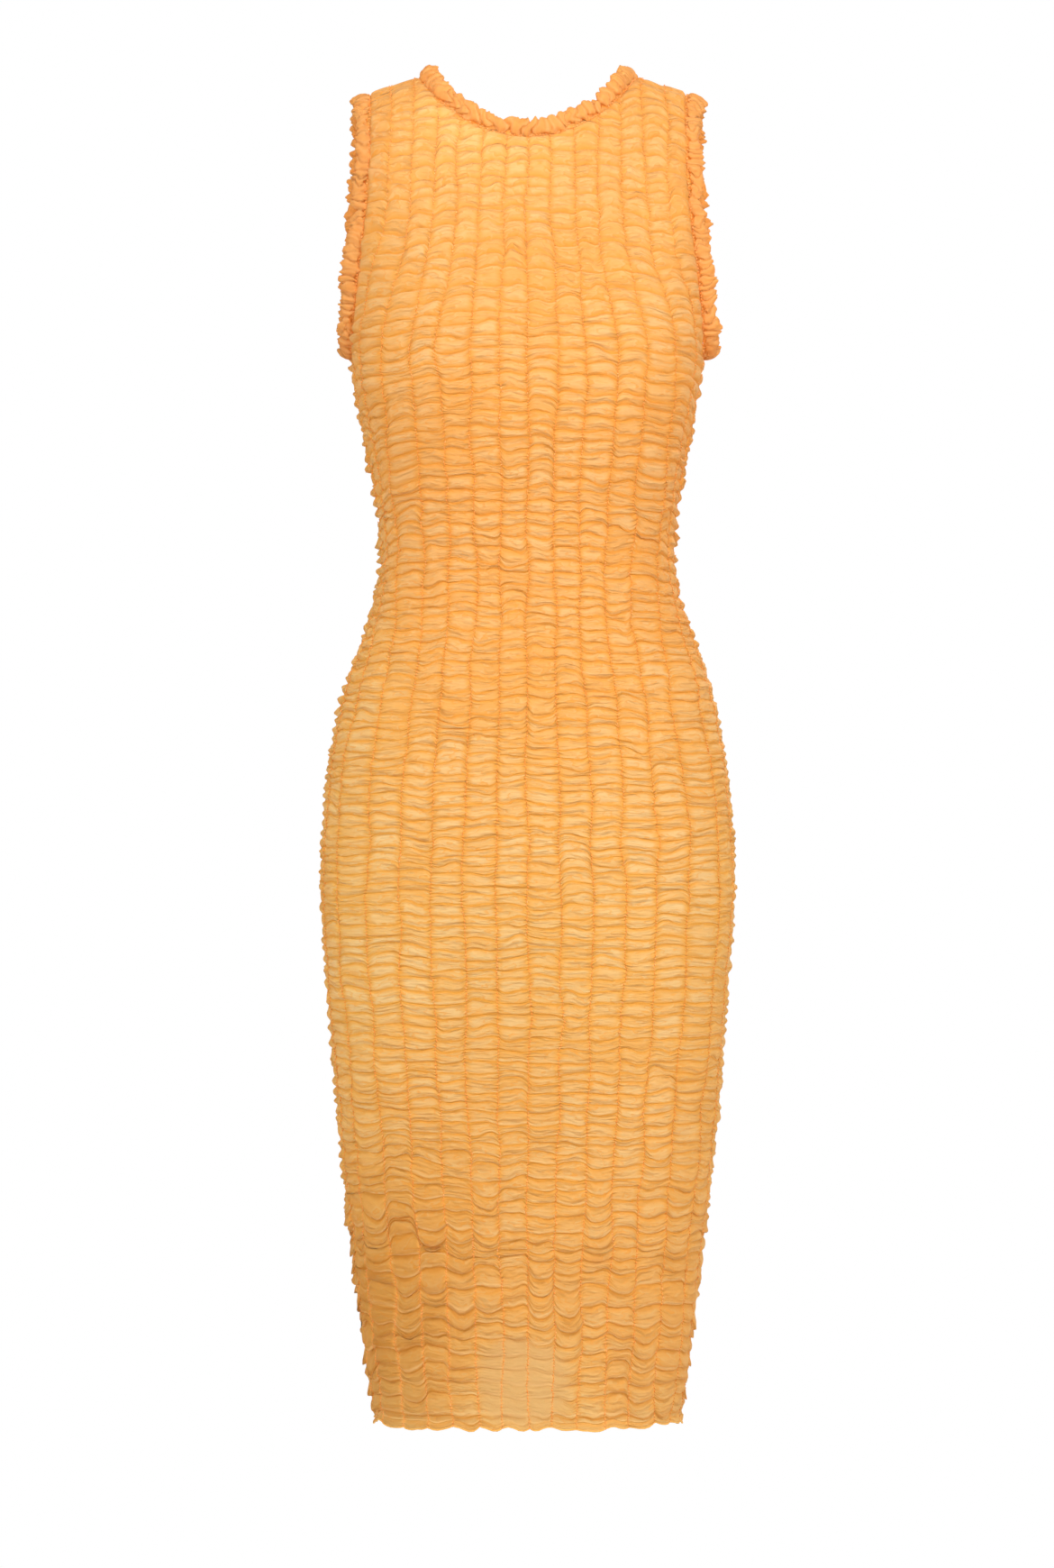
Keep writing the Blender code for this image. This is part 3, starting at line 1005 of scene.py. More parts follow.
@dataclass
class ShirredPanel:
    """A panel of gathered cloth between its elastic seams.

    The mesh's rows follow the gathers, which run on across every seam, unevenly. Each column between two
    seams has its own arches, depths and puffs.
    """

    form: DressForm
    side: Side
    seed: int
    name: str
    patches: tuple[Patch, ...] = ()
    half_seams: int = 8
    armhole_seam: int = 7
    rows: int = 676
    fractions: tuple[float, ...] = (0.0, 0.035, 0.10, 0.22, 0.40, 0.60, 0.78, 0.90, 0.965)  # of a column
    uneven: Unevenness = Unevenness()
    seam_lift: float = 0.6  # of the cloth off the form
    seam_pitch: tuple[tuple[float, float], ...] = (  # drop, and the seams' spacing seen from the front
        (-40, 19.0),
        (80, 19.4),
        (236, 24.2),
        (330, 22.2),
        (400, 20.9),
        (460, 21.4),
        (570, 25.2),
        (680, 26.5),
        (880, 23.4),
        (1109, 20.2),
        (1160, 20.0),
    )
    flat_share: float = 0.90  # of the half width, up to which they are so spaced
    tuck_under: float = 7.0  # how far the cloth runs on under a binding
    edge_fade: float = 5.0  # how far from a binding the puffs rise
    edge_calm: float = 25.0  # how far from the shoulder and the hem the gathers go astray
    chest: tuple[float, float] = (260.0, 180.0)  # down, from where to where the gathers grow calmer
    crest: float = 0.52  # how full the puffs are, which are narrower towards the side seams
    crest_at_side: float = 0.75
    sheer: float = 0.55  # how pale the stretched cloth looks, and how much less so at the side seams
    sheer_at_side: float = 0.35
    least_step: float = 0.30  # of a row's height, between one row and the next
    gather_ratio: float = 1.6  # flat length to gathered length
    side_seeds: tuple[int, int] = (71, 72)  # of the two side seams' puffs, which both panels share
    side_blend: float = 0.5  # columns over which the puffs pass into the side seam's
    side_overlap: float = 0.6  # how far each panel reaches past the side seam
    side_sizes: tuple[float, float] = (0.55, 1.25)  # of the side seams' puffs
    table_drops: tuple[float, float, float] = (-40.0, 1161.0, 10.0)  # from, to and step
    shoulder_reach: float = 90.0  # how far down the rows still follow the shoulder's ridge
    ridge_fade: float = 7.0  # how far from it the puffs rise
    sweep_fade: float = 60.0  # how far above the hem the rows' sweep starts to die out
    hem_bows: tuple[float, float] = (0.8, 2.3)  # how wide the hem's bows are, in columns
    hem_depths: tuple[float, float] = (0.9, 2.6)  # and how deep
    hem_rise: float = 0.8  # how far the hem lies above the form's own
    hem_reach: float = 16.0  # how far up the rows follow it

    def __post_init__(self) -> None:
        """Lays out the panel's rows and its gathers."""
        self.rng = np.random.default_rng(self.seed)
        self.chart = ShirringChart(SHIRRING)
        top = self.form.cap_height - self.form.cap_length
        self.row_down = np.linspace(top, self.form.length, self.rows + 1)
        self.columns = 2 * self.half_seams
        self.seam_table = self.seam_places()
        row_step = self.row_down[1] - self.row_down[0]
        marks = [-2]
        while marks[-1] < self.rows + 2:
            pitch = self.chart.at("pitch", self.row_down[0] + marks[-1] * row_step)
            step = round(pitch / row_step * self.rng.lognormal(0.0, self.uneven.pitch))
            marks.append(marks[-1] + max(self.uneven.least_rows, step))
        if marks[-2] > self.rows - 2:  # no gather on the hem's own edge
            marks[-2] = self.rows - 3
        self.marks = np.array(marks, float)
        self.mark_down = self.row_down[0] + self.marks * row_step
        self.puff_down = (self.mark_down[1:] + self.mark_down[:-1]) / 2

    # Sizes that are drawn for each gather or puff, read at every row

    def by_gather(self, values: np.ndarray) -> np.ndarray:
        """One value a gather, for each seam or column, read at every row: rows by seams."""
        rows = np.arange(self.rows + 1)
        return np.array([np.interp(rows, self.marks, line) for line in values]).T

    def by_puff(self, values: np.ndarray) -> np.ndarray:
        """One value a puff, for each column, read at every row.

        Args:
            values: A line of values for each column.

        Returns:
            The values, rows by columns.
        """
        rows = np.arange(self.rows + 1)
        middles = (self.marks[1:] + self.marks[:-1]) / 2
        return np.array([np.interp(rows, middles, line) for line in values]).T

    def held_at_ends(self, shift: np.ndarray) -> np.ndarray:
        """The gathers' shifts, let die out towards the shoulder and the hem.

        Args:
            shift: The shifts, with the gathers last.

        Returns:
            The calmer shifts.
        """
        top, hem = self.row_down[0], self.form.length
        shift = shift * smoothstep(top, top + self.edge_calm, self.mark_down)
        return shift * smoothstep(hem, hem - self.edge_calm, self.mark_down)

    def gather_shifts(self) -> np.ndarray:
        """How far each gather lies off its row, at every seam.

        Returns:
            Millimetres, seams by gathers.
        """
        seams, count = self.columns + 1, len(self.marks)
        pitch = self.chart.at("pitch", self.mark_down)
        waves = smooth_noise(self.rng, (seams, count), (seams / 1.4, count / 5))
        shift = self.uneven.shift_waves * pitch * waves
        shift += self.uneven.shift_each * pitch * self.rng.normal(0.0, 1.0, (seams, count))
        slots = self.mark_down + self.held_at_ends(shift)
        for k in range(1, count):
            slots[:, k] = np.maximum(slots[:, k], slots[:, k - 1] + self.uneven.least_gap * pitch[k])
        return slots - self.mark_down

    def column_jogs(self) -> np.ndarray:
        """How far each column's gathers lie off the seams' own.

        Returns:
            Millimetres, columns by gathers.
        """
        count = len(self.marks)
        pitch = self.chart.at("pitch", self.mark_down)
        wild = 1 + self.uneven.jog_wild * self.wildness(self.mark_down)
        wild = wild * (1 - 0.4 * smoothstep(*self.chest, self.mark_down))
        waves = smooth_noise(self.rng, (self.columns, count), (self.columns * 1.2, count / 3.5))
        jog = self.uneven.jog_waves * wild * pitch * waves
        jog += self.uneven.jog_each * wild * pitch * self.rng.normal(0.0, 1.0, jog.shape)
        return self.held_at_ends(jog)

    def gather_depths(self) -> tuple[np.ndarray, np.ndarray]:
        """How deep each gather is at every seam, and in the middle of every column.

        Returns:
            Shares, seams by gathers and columns by gathers.
        """
        seams, count = self.columns + 1, len(self.marks)
        faint = self.rng.random((seams, count)) < self.chart.at("faint", self.mark_down)
        shallow = self.rng.uniform(*self.uneven.faint_depths, faint.shape)
        at_seam = np.where(faint, shallow, self.rng.uniform(*self.uneven.depths, faint.shape))
        at_seam *= 1 - self.uneven.calm_depth * smoothstep(*self.chest, self.mark_down)
        fainter = self.rng.random((seams - 1, count)) < self.chart.at("faint", self.mark_down)
        middle = self.uneven.middle_depth * np.where(fainter, self.uneven.faint_middle, 1.0)
        spread = self.rng.uniform(*self.uneven.middle_spread, middle.shape)
        return at_seam, np.clip(middle * spread, 0, 1)

    def wildness(self, down: np.ndarray) -> np.ndarray:
        """How unruly each column is at each of these levels.

        Args:
            down: Millimetres down the cloth.

        Returns:
            How unruly, columns by levels.
        """
        middles = np.arange(self.columns)[:, None] + 0.5 - self.half_seams
        wilder = sum(patch.wild * patch.share(middles, down) for patch in self.patches)
        return self.chart.at("wild", down) + wilder

    # The mesh

    def build(self) -> bpy.types.Object:
        """Makes the panel's object, with its UV maps and attributes.

        Returns:
            The object.
        """
        rng, chart, uneven = self.rng, self.chart, self.uneven
        columns, marks, puffs = self.columns, len(self.marks), len(self.marks) - 1
        spots = np.array([c + f for c in range(columns) for f in self.fractions] + [float(columns)])
        column = np.minimum(spots.astype(int), columns - 1)
        f = spots - column
        shape = (self.rows + 1, len(spots))

        def between_seams(values: np.ndarray) -> np.ndarray:
            """Values of seams, read at every place across."""
            return values[:, column] * (1 - f) + values[:, column + 1] * f

        def smooth_between(values: np.ndarray) -> np.ndarray:
            """Values of columns, which meet halfway on the seams between them.

            Args:
                values: The columns' values at every row.

            Returns:
                Rows by places across.
            """
            blend = 0.5 * np.abs(2 * f - 1) ** 6
            beside = np.clip(np.where(f < 0.5, column - 1, column + 1), 0, columns - 1)
            return values[:, column] * (1 - blend) + values[:, beside] * blend

        aside = np.abs(spots / self.half_seams - 1)  # 0 on the centre line to 1 at a side seam
        sheer = np.full(shape, self.sheer) - self.sheer_at_side * aside**5
        rise, calm = np.ones(shape), np.ones(shape)
        gold, dusk = np.zeros(shape), np.zeros(shape)
        for patch in self.patches:
            share = patch.share(spots - self.half_seams, self.row_down[:, None])
            rise *= 1 + (patch.rise - 1) * share
            calm *= 1 + (min(patch.rise, 1.0) - 1) * share
            sheer += patch.sheer * share
            gold += patch.gold * share
            dusk += patch.dusk * share

        shift = self.by_gather(self.gather_shifts())
        arch = chart.at("arch", self.mark_down) * rng.normal(1.0, uneven.arch, (columns, marks))
        arch += rng.normal(0.0, uneven.arch_mm, (columns, marks)) * (1 + self.wildness(self.mark_down))
        tilt = rng.normal(0.0, uneven.tilt_mm, (columns, marks))
        jog = self.by_gather(self.column_jogs())[:, column] * (1 - np.abs(2 * f - 1) ** 4)
        bowed = self.by_gather(arch)[:, column] * np.sin(math.pi * f)
        down = self.row_down[:, None] + between_seams(shift) + (jog - bowed) * calm
        down += self.by_gather(tilt)[:, column] * np.sin(2 * math.pi * f)
        least = self.least_step * self.row_down[:, None]
        down = np.maximum.accumulate(down - least, axis=0) + least

        at_seam, middle = self.gather_depths()
        bow = 4 * f * (1 - f)
        depth = between_seams(self.by_gather(at_seam)) * (1 - bow)
        depth = depth + self.by_gather(middle)[:, column] * bow
        phase = np.interp(np.arange(self.rows + 1), self.marks, np.arange(marks))
        crest = self.crest + self.crest_at_side * aside**4
        along = np.abs(np.sin(math.pi * phase))[:, None] ** crest
        lopside = self.by_puff(rng.normal(0.0, uneven.lopside, (columns, puffs)))[:, column]
        skewed = np.clip(f + lopside * f * (1 - f) * 1.6, 0, 1)
        across = 1 - np.abs(2 * skewed - 1) ** 3
        swell = smooth_between(self.by_puff(rng.normal(0.0, uneven.swell, (columns, puffs))))
        swell = np.clip(1 + swell * (1 + (crest - self.crest) * 1.6), *uneven.swells)
        rise *= chart.at("rise", self.row_down)[:, None] * swell * self.side_slack(spots)
        bridge = chart.at("bridge", self.row_down)[:, None]
        height = rise * (bridge + (1 - bridge) * across) * (1 - depth * (1 - along))
        dents = smooth_noise(rng, shape, (self.rows / 4, len(spots) / 3.0))
        height += rise * uneven.crumple * dents * along
        height += uneven.sway_mm * smooth_noise(rng, shape, (self.rows / 30, len(spots) / 12))
        height = np.maximum(height, 0.0)

        unruly = uneven.lean + uneven.lean_wild * self.wildness(self.puff_down)
        lean = chart.at("lean", self.puff_down) + unruly * rng.normal(0, 1, (columns, puffs))
        lean = smooth_between(self.by_puff(lean))
        down += self.shoulder_shift(spots) + self.sweep(spots)
        down += lean * height + self.hem_shift(spots)
        grid = (self.rows + 1, columns + 1)
        wander = uneven.seam_waves * smooth_noise(rng, grid, (self.rows / 22, columns))
        wander += uneven.seam_each * smooth_noise(rng, grid, (self.rows / 5, columns))
        wander[:, [0, -1]] = 0
        seam = spots - self.half_seams + between_seams(wander)
        floats = dict(zip(PANEL_FLOATS, (depth, lean + 0.5, sheer, gold, dusk)))
        return self.trimmed(seam, down, height, floats, phase)

    def seam_places(self) -> Table:
        """Where the seams lie at each level, in the form's columns.

        They are evenly apart as seen from the front, and share out what is left round the side. Above
        the underarm the one at armhole_seam follows the armhole's edge.

        Returns:
            The form's columns, by level and seam.
        """
        form, top = self.form, self.armhole_seam
        cut, pitches = np.array(form.armhole), np.array(self.seam_pitch)
        take = cut[:, 1] if self.side is Side.FRONT else cut[:, 2]
        seams = np.linspace(0, self.half_seams, 4 * self.half_seams + 1)
        shares = np.linspace(0, 1, form.ring_shares)
        drops = np.arange(*self.table_drops)
        table = []
        for drop in drops:
            xs = form.ring_point(self.side, shares, np.full(len(shares), drop))[0]
            pitch = np.interp(drop, pitches[:, 0], pitches[:, 1])
            last = self.flat_share * xs[-1] / pitch
            turn = form.half_columns * np.interp(last * pitch, xs, shares)
            side = turn + (form.half_columns - turn) * (seams - last) / (self.half_seams - last)
            even = form.half_columns * np.interp(seams * pitch, xs, shares)
            line = np.where(seams <= last, even, side)
            kept = form.half_columns - np.interp(drop, cut[:, 0], take) + 0.05
            edge = np.interp(min(kept, np.interp(top, seams, line)) / form.half_columns, shares, xs)
            high = form.half_columns * np.interp(seams / top * edge, xs, shares)
            beyond = kept + (form.half_columns - kept) * (seams - top) / (self.half_seams - top)
            share = float(smoothstep(120, form.underarm, np.array(drop)))
            table.append(line * share + np.where(seams <= top, high, beyond) * (1 - share))
        return Table(np.array(table), drops[0], self.table_drops[2], seams[1])

    def seam_column(self, seam: np.ndarray, down: np.ndarray) -> np.ndarray:
        """Where seams lie, in the form's columns."""
        seam, down = np.broadcast_arrays(seam, down)
        return np.sign(seam) * self.seam_table.at(down, np.abs(seam))

    def side_slack(self, spots: np.ndarray) -> np.ndarray:
        """Times the height, for every row and place across.

        Args:
            spots: Places across, in columns from the panel's edge.

        Returns:
            The factors, rows by places.
        """
        seam = spots - self.half_seams
        share = np.abs(seam / self.half_seams) ** 4
        right = self.chart.at("right_slack", self.row_down)[:, None]
        left = self.chart.at("left_slack", self.row_down)[:, None]
        return 1 + (np.where(seam < 0, right, left) - 1) * share

    def side_puffs(self, hand: int, down: np.ndarray) -> np.ndarray:
        """Height of the puffs on a side seam, the same on both panels.

        Args:
            hand: 0 for the dress's own right, 1 for its left.
            down: Millimetres down the cloth.

        Returns:
            The heights.
        """
        rng = np.random.default_rng(self.side_seeds[hand])
        marks = [-60.0]
        while marks[-1] < self.form.length + 40:
            step = self.chart.at("pitch", marks[-1]) * rng.lognormal(0.0, self.uneven.pitch)
            marks.append(marks[-1] + step)
        phase = np.interp(down, marks, np.arange(len(marks)))
        size = rng.uniform(*self.side_sizes, len(marks))[phase.astype(int)]
        slack = self.chart.at(("right_slack", "left_slack")[hand], down)
        return self.chart.at("rise", down) * slack * size * np.abs(np.sin(math.pi * phase)) ** 1.1

    def shoulder_shift(self, spots: np.ndarray) -> np.ndarray:
        """Lets the first rows follow the shoulder's ridge, and the others less and less.

        Args:
            spots: Places across, in columns from the panel's edge.

        Returns:
            Millimetres, rows by places.
        """
        column = self.seam_column(spots - self.half_seams, self.row_down[0])
        top = self.form.ridge_down(self.side, column) - self.row_down[0]
        return top * smoothstep(self.shoulder_reach, 0, self.row_down - self.row_down[0])[:, None]

    def sweep(self, spots: np.ndarray) -> np.ndarray:
        """Lets the rows sink or rise towards the side seams.

        Args:
            spots: Places across, in columns from the panel's edge.

        Returns:
            Millimetres, rows by places.
        """
        hem = self.form.length
        fade = smoothstep(hem, hem - self.sweep_fade, self.row_down)
        share = np.abs(spots / self.half_seams - 1)
        return (self.chart.at("sweep", self.row_down) * fade)[:, None] * share**2.2

    def hem_shift(self, spots: np.ndarray) -> np.ndarray:
        """The hem's own line: uneven shallow bows that meet in small kinks.

        Args:
            spots: Places across, in columns from the panel's edge.

        Returns:
            Millimetres, rows by places.
        """
        widths = self.rng.uniform(*self.hem_bows, self.columns + 4)
        kinks = np.concatenate([[0], np.cumsum(widths)])
        kinks = kinks[kinks < self.columns - 0.5]
        kinks = np.append(kinks, float(self.columns))
        i = np.clip(np.searchsorted(kinks, spots, side="right") - 1, 0, len(kinks) - 2)
        t = (spots - kinks[i]) / (kinks[i + 1] - kinks[i])
        size = self.rng.uniform(*self.hem_depths, len(kinks))[i]
        line = size * (1 - np.abs(2 * t - 1) ** 2.6) - self.hem_rise
        hem = self.form.length
        return line * smoothstep(hem - self.hem_reach, hem, self.row_down)[:, None]

    def trimmed(
        self,
        seam: np.ndarray,
        down: np.ndarray,
        height: np.ndarray,
        floats: dict[str, np.ndarray],
        phase: np.ndarray,
    ) -> bpy.types.Object:
        """Cuts the cloth to its openings, lays it on the form and makes the object.

        Args:
            seam: Each point's place across, in seams from the centre line.
            down: Each point's place down the cloth.
            height: Its height off the form.
            floats: Its attributes, by name.
            phase: Each row's place among the gathers, counted from the first.

        Returns:
            The panel.
        """
        form, side = self.form, self.side
        places = np.stack([self.seam_column(seam, down), down], axis=-1)
        clear = np.full(down.shape, FAR)
        for edge in self.opening_edges():
            clear = np.minimum(clear, self.cut_to(edge, places))
        column, down = places[..., 0], places[..., 1]
        ridge = down - form.ridge_down(side, column)
        for hand, near in ((0, self.half_seams + seam), (1, self.half_seams - seam)):
            share = smoothstep(self.side_blend, 0.0, near)
            height = height * (1 - share) + self.side_puffs(hand, down) * share
        height = height * smoothstep(-1.0, self.edge_fade, clear) * smoothstep(0, self.ridge_fade, ridge)
        out = form.normals(side, column, down)
        points = form.points(side, column, down) + out * (self.seam_lift + height)[..., None]
        points[0, :, 1] = 0.0
        points[..., 1] = side.value * np.maximum(side.value * points[..., 1], 0.0)
        points[1:, [0, -1], 1] -= side.value * self.side_overlap
        self.points, self.normals, self.clear = points * MM, out, clear

        width = seam.shape[1]
        index = np.arange((self.rows + 1) * width).reshape(-1, width)
        quads = np.stack([index[:-1, :-1], index[1:, :-1], index[1:, 1:], index[:-1, 1:]], axis=-1)
        kept = (clear > 0.01 - self.tuck_under).ravel()[quads].any(axis=-1)
        order = [0, 1, 2, 3] if side is Side.FRONT else [3, 2, 1, 0]  # so that the faces point outwards
        quads = quads[kept][:, order]
        used = np.unique(quads)
        renumber = np.full(index.size, -1)
        renumber[used] = np.arange(len(used))
        piece = mesh_object(self.name, self.points.reshape(-1, 3)[used], renumber[quads].tolist())
        for name, values in floats.items():
            add_floats(piece, name, values.ravel()[used])

        rows_of, columns_of = np.nonzero(kept)
        count = len(self.fractions)
        edges = np.array(self.fractions + (1.0,))
        left, right = (edges[columns_of % count + k] + columns_of // count for k in (0, 1))
        u = np.stack([left, left, right, right], axis=1)[:, order]
        puff_v, cloth_v = (
            np.stack([v[rows_of], v[rows_of + 1], v[rows_of + 1], v[rows_of]], axis=1)[:, order]
            for v in (phase, self.row_down * self.gather_ratio * MM)
        )
        own = 50 * (side is Side.BACK)  # gives the back's puffs tones of their own
        add_uv(piece, PUFF_UV, np.stack([u + own, puff_v], axis=-1))
        add_uv(piece, CLOTH_UV, np.stack([u * form.column_on_pattern * MM, cloth_v], axis=-1))
        return piece

    def opening_edges(self) -> list[np.ndarray]:
        """The neckline and the armholes on the flat pattern, each with the cloth on its left.

        Returns:
            Each edge's points.
        """
        form = self.form
        past_arm, past_neck = 40, 60  # millimetres that the edges run on past the cloth
        neck = form.on_pattern(form.neck_places(self.side, count=64))
        front, back = form.armhole_places(step=4.0)
        arm = form.on_pattern(front if self.side is Side.FRONT else back[::-1])
        arm = np.vstack([arm[:1] - (0, past_arm), arm, arm[-1:] + (past_arm, 0)])
        neck = np.vstack([neck[:1] - (0, past_neck), neck, neck[-1:] - (0, past_neck)])
        return [neck, arm, (arm * (-1, 1))[::-1]]

    def cut_to(self, edge: np.ndarray, places: np.ndarray) -> np.ndarray:
        """How far places lie inside the cloth from one opening's edge. Those further out are drawn in.

        Args:
            edge: The edge's points on the pattern.
            places: The panel's places, which are changed where they lie far outside.

        Returns:
            The distance, below 0 in the opening.
        """
        flat = self.form.on_pattern(places)
        around = 30  # millimetres round the edge where the distance is worked out
        low, high = edge.min(0) - around, edge.max(0) + around
        near = (flat[..., 0] > low[0]) & (flat[..., 0] < high[0]) & (flat[..., 1] < high[1])
        p = flat[near]
        best, sign = np.full(len(p), np.inf), np.ones(len(p))
        nearest = np.zeros((len(p), 2))
        for a, b in zip(edge[:-1], edge[1:]):
            d = b - a
            spot = a + np.clip(((p - a) @ d) / (d @ d), 0, 1)[:, None] * d
            gap = np.linalg.norm(p - spot, axis=1)
            closer = gap < best
            best[closer] = gap[closer]
            nearest[closer] = spot[closer]
            turn = d[0] * (p[:, 1] - a[1]) - d[1] * (p[:, 0] - a[0])
            sign[closer] = np.where(turn < 0, -1.0, 1.0)[closer]
        distance = best * sign
        far = distance < -self.tuck_under
        away = (p[far] - nearest[far]) / best[far][:, None]
        p[far] = nearest[far] + away * self.tuck_under
        flat[near] = p
        places[...] = flat / self.form.on_pattern(np.ones(2))
        result = np.full(places.shape[:2], FAR)
        result[near] = np.maximum(distance, -self.tuck_under)
        return result

    # What the sewing follows

    def seam_lines(self) -> list[tuple[np.ndarray, np.ndarray]]:
        """The elastic seams: points and outward normals of each, where there is cloth.

        Returns:
            Each seam's points in metres, and its normals.
        """
        clearance, least_rows = 1.5, 20
        lines = []
        for i in range(1, self.columns):
            line = i * len(self.fractions)
            on_cloth = self.clear[:, line] > clearance
            on_cloth[0] = False
            if on_cloth.sum() > least_rows:
                first = int(np.argmax(on_cloth))
                lines.append((self.points[first:, line], self.normals[first:, line]))
        return lines

    def hem_points(self) -> np.ndarray:
        """Points of the hem's edge, from the dress's own right to its left."""
        return self.points[-1]


# --------------------------------------
# Ruched bindings


@dataclass
class RuchedBinding:
    """A strip gathered into a soft tube round an opening. Its sizes are in millimetres."""

    form: DressForm
    name: str
    node: str  # the solid that it stands for
    half_width: float
    half_thickness: float
    gathers: int
    lean: float  # how far the tube leans out, where its cloth faces along lean_axis
    lean_axis: int
    lean_power: int
    seed: int
    mirror: bool = False  # for the dress's own right, made from the left
    clearance: float = 1.0  # between the tube and the cloth's edge
    wall: float = 1.5  # of the solid, on whose outside the edge lies
    rings_a_gather: int = 10
    sides: int = 28
    slit: float = 0.12  # half of the angle that stays open over the cloth's edge
    fold_spread: float = 0.40  # of the folds' widths
    slant: float = 0.30  # of a fold, how far it slants and curls
    curl: float = 0.30
    notch: tuple[float, float] = (0.20, 0.80)  # how deep the tube is drawn in between two folds
    bulge: tuple[float, float] = (1.04, 0.13)  # the folds' size and its spread
    fullness: float = 1.04  # of the whole tube
    shift: float = 1.1
    ripple: float = 0.13  # of the radius: dents about as wide as a fold's half, and finer ones
    crinkle: float = 0.07

    def places(self) -> list[tuple[Side, np.ndarray]]:
        """Places along the opening's edge, in two runs: on the front and on the back.

        Returns:
            Each run's panel and places.
        """
        form = self.form
        if self.lean_axis == 2:
            front, back = (form.neck_places(side, count=120) for side in Side)
            back = back[::-1]
        else:
            front, back = form.armhole_places(step=2.0)
        return [(Side.FRONT, front[:-1]), (Side.BACK, back[:-1])]

    def frames(self, count: int) -> tuple[np.ndarray, ...]:
        """Evenly spaced frames round the opening.

        Args:
            count: How many.

        Returns:
            The edge's points, the tube's centres, the directions of its width and thickness, and the
            cloth's normals.
        """
        runs = self.places()
        points = np.vstack([self.form.points(side, p[:, 0], p[:, 1]) for side, p in runs])
        normals = np.vstack([self.form.normals(side, p[:, 0], p[:, 1]) for side, p in runs])
        points = points + normals * self.wall / 2
        loop, loop_normals = np.vstack([points, points[:1]]), np.vstack([normals, normals[:1]])
        along = np.concatenate([[0], np.cumsum(np.linalg.norm(np.diff(loop, axis=0), axis=1))])
        spots = np.linspace(0, along[-1], count, endpoint=False)
        edge, out = (
            np.column_stack([np.interp(spots, along, v[:, k]) for k in range(3)])
            for v in (loop, loop_normals)
        )
        self.round_length = float(along[-1])
        reach = max(1, count // 90)  # how many frames the direction is read over
        ahead = np.roll(edge, -reach, axis=0) - np.roll(edge, reach, axis=0)
        ahead /= np.linalg.norm(ahead, axis=1, keepdims=True)
        normal = out - ahead * (out * ahead).sum(1, keepdims=True)
        normal /= np.linalg.norm(normal, axis=1, keepdims=True)
        inward = np.cross(ahead, normal)
        inward *= np.sign((inward * (edge.mean(0) - edge)).sum(1, keepdims=True))
        facing = np.maximum(0.0, normal[:, self.lean_axis : self.lean_axis + 1])
        lean = self.lean * facing**self.lean_power
        wide, thick = inward + normal * lean, normal - inward * lean
        wide /= np.linalg.norm(wide, axis=1, keepdims=True)
        thick /= np.linalg.norm(thick, axis=1, keepdims=True)
        centre = edge + inward * self.clearance + wide * self.half_width
        if self.mirror:
            flip = np.array([-1.0, 1.0, 1.0])
            edge, centre, wide, thick, normal = (v * flip for v in (edge, centre, wide, thick, normal))
        return edge, centre, wide, thick, normal

    def build(self) -> bpy.types.Object:
        """Makes the tube: irregular slanting folds, each with its own depth and bulge.

        Returns:
            The tube's object.
        """
        rng = np.random.default_rng(self.seed)
        count, gathers = self.gathers * self.rings_a_gather, self.gathers
        _, centre, wide, thick, _ = self.frames(count)
        widths = rng.lognormal(0.0, self.fold_spread, gathers)
        breaks = np.concatenate([[0], np.cumsum(widths)]) * count / widths.sum()
        rows = np.arange(count)
        base_phase = np.interp(rows, breaks, np.arange(gathers + 1))

        def on_folds(values: np.ndarray) -> np.ndarray:
            """One value a fold, read at every ring."""
            return np.interp(rows, breaks, np.append(values, values[0]))[:, None]

        slant = on_folds(rng.normal(0.0, self.slant, gathers))
        curl = on_folds(rng.normal(0.0, self.curl, gathers))
        notch = on_folds(rng.uniform(*self.notch, gathers))
        bulge = on_folds(rng.normal(*self.bulge, gathers))
        shift = on_folds(rng.normal(0.0, self.shift, gathers))
        angle = np.linspace(-math.pi + self.slit, math.pi - self.slit, self.sides + 1)
        phase = base_phase[:, None] + slant * np.cos(angle) + curl * np.sin(2 * angle + 0.7)
        ridge = np.abs(np.sin(math.pi * phase)) ** 0.6
        crease = on_folds(rng.uniform(0.0, 0.5, gathers))
        ridge = ridge * (1 - crease * np.abs(np.sin(2.4 * math.pi * phase)) ** 8)
        radius = bulge * (1 - notch * (1 - ridge)) * self.fullness
        for size, cells in ((self.ripple, (count / 5, 7)), (self.crinkle, (count / 2.2, 14))):
            radius = radius + size * smooth_noise(rng, radius.shape, cells, loop=True)
        offset_wide = (self.half_width * radius * np.cos(angle) + shift)[..., None]
        offset_thick = (self.half_thickness * radius * np.sin(angle))[..., None]
        points = centre[:, None] + wide[:, None] * offset_wide + thick[:, None] * offset_thick
        ring = np.arange(count * (self.sides + 1)).reshape(count, self.sides + 1)
        quads = self.corners_of(ring, np.roll(ring, -1, axis=0)).reshape(-1, 4)
        piece = mesh_object(self.name, points.reshape(-1, 3) * MM, quads.tolist())
        turned = face_outward(piece)

        ahead = np.roll(phase, -1, axis=0)
        ahead[-1] += gathers
        u = self.corners_of(phase, ahead)
        around = (angle / (2 * math.pi))[None, :].repeat(count, axis=0)
        v = self.corners_of(around, around)
        steps = np.stack([rows, rows, rows + 1, rows + 1], axis=-1)
        travel = steps[:, None, :].repeat(self.sides, axis=1) * (self.round_length / count)
        girth = math.pi * (self.half_width + self.half_thickness)
        cloth = np.stack([travel, v * girth], axis=-1) * MM
        for name, values in ((PUFF_UV, np.stack([u, v], axis=-1)), (CLOTH_UV, cloth)):
            values = values.reshape(-1, 4, 2)
            add_uv(piece, name, values[:, ::-1] if turned else values)
        return piece

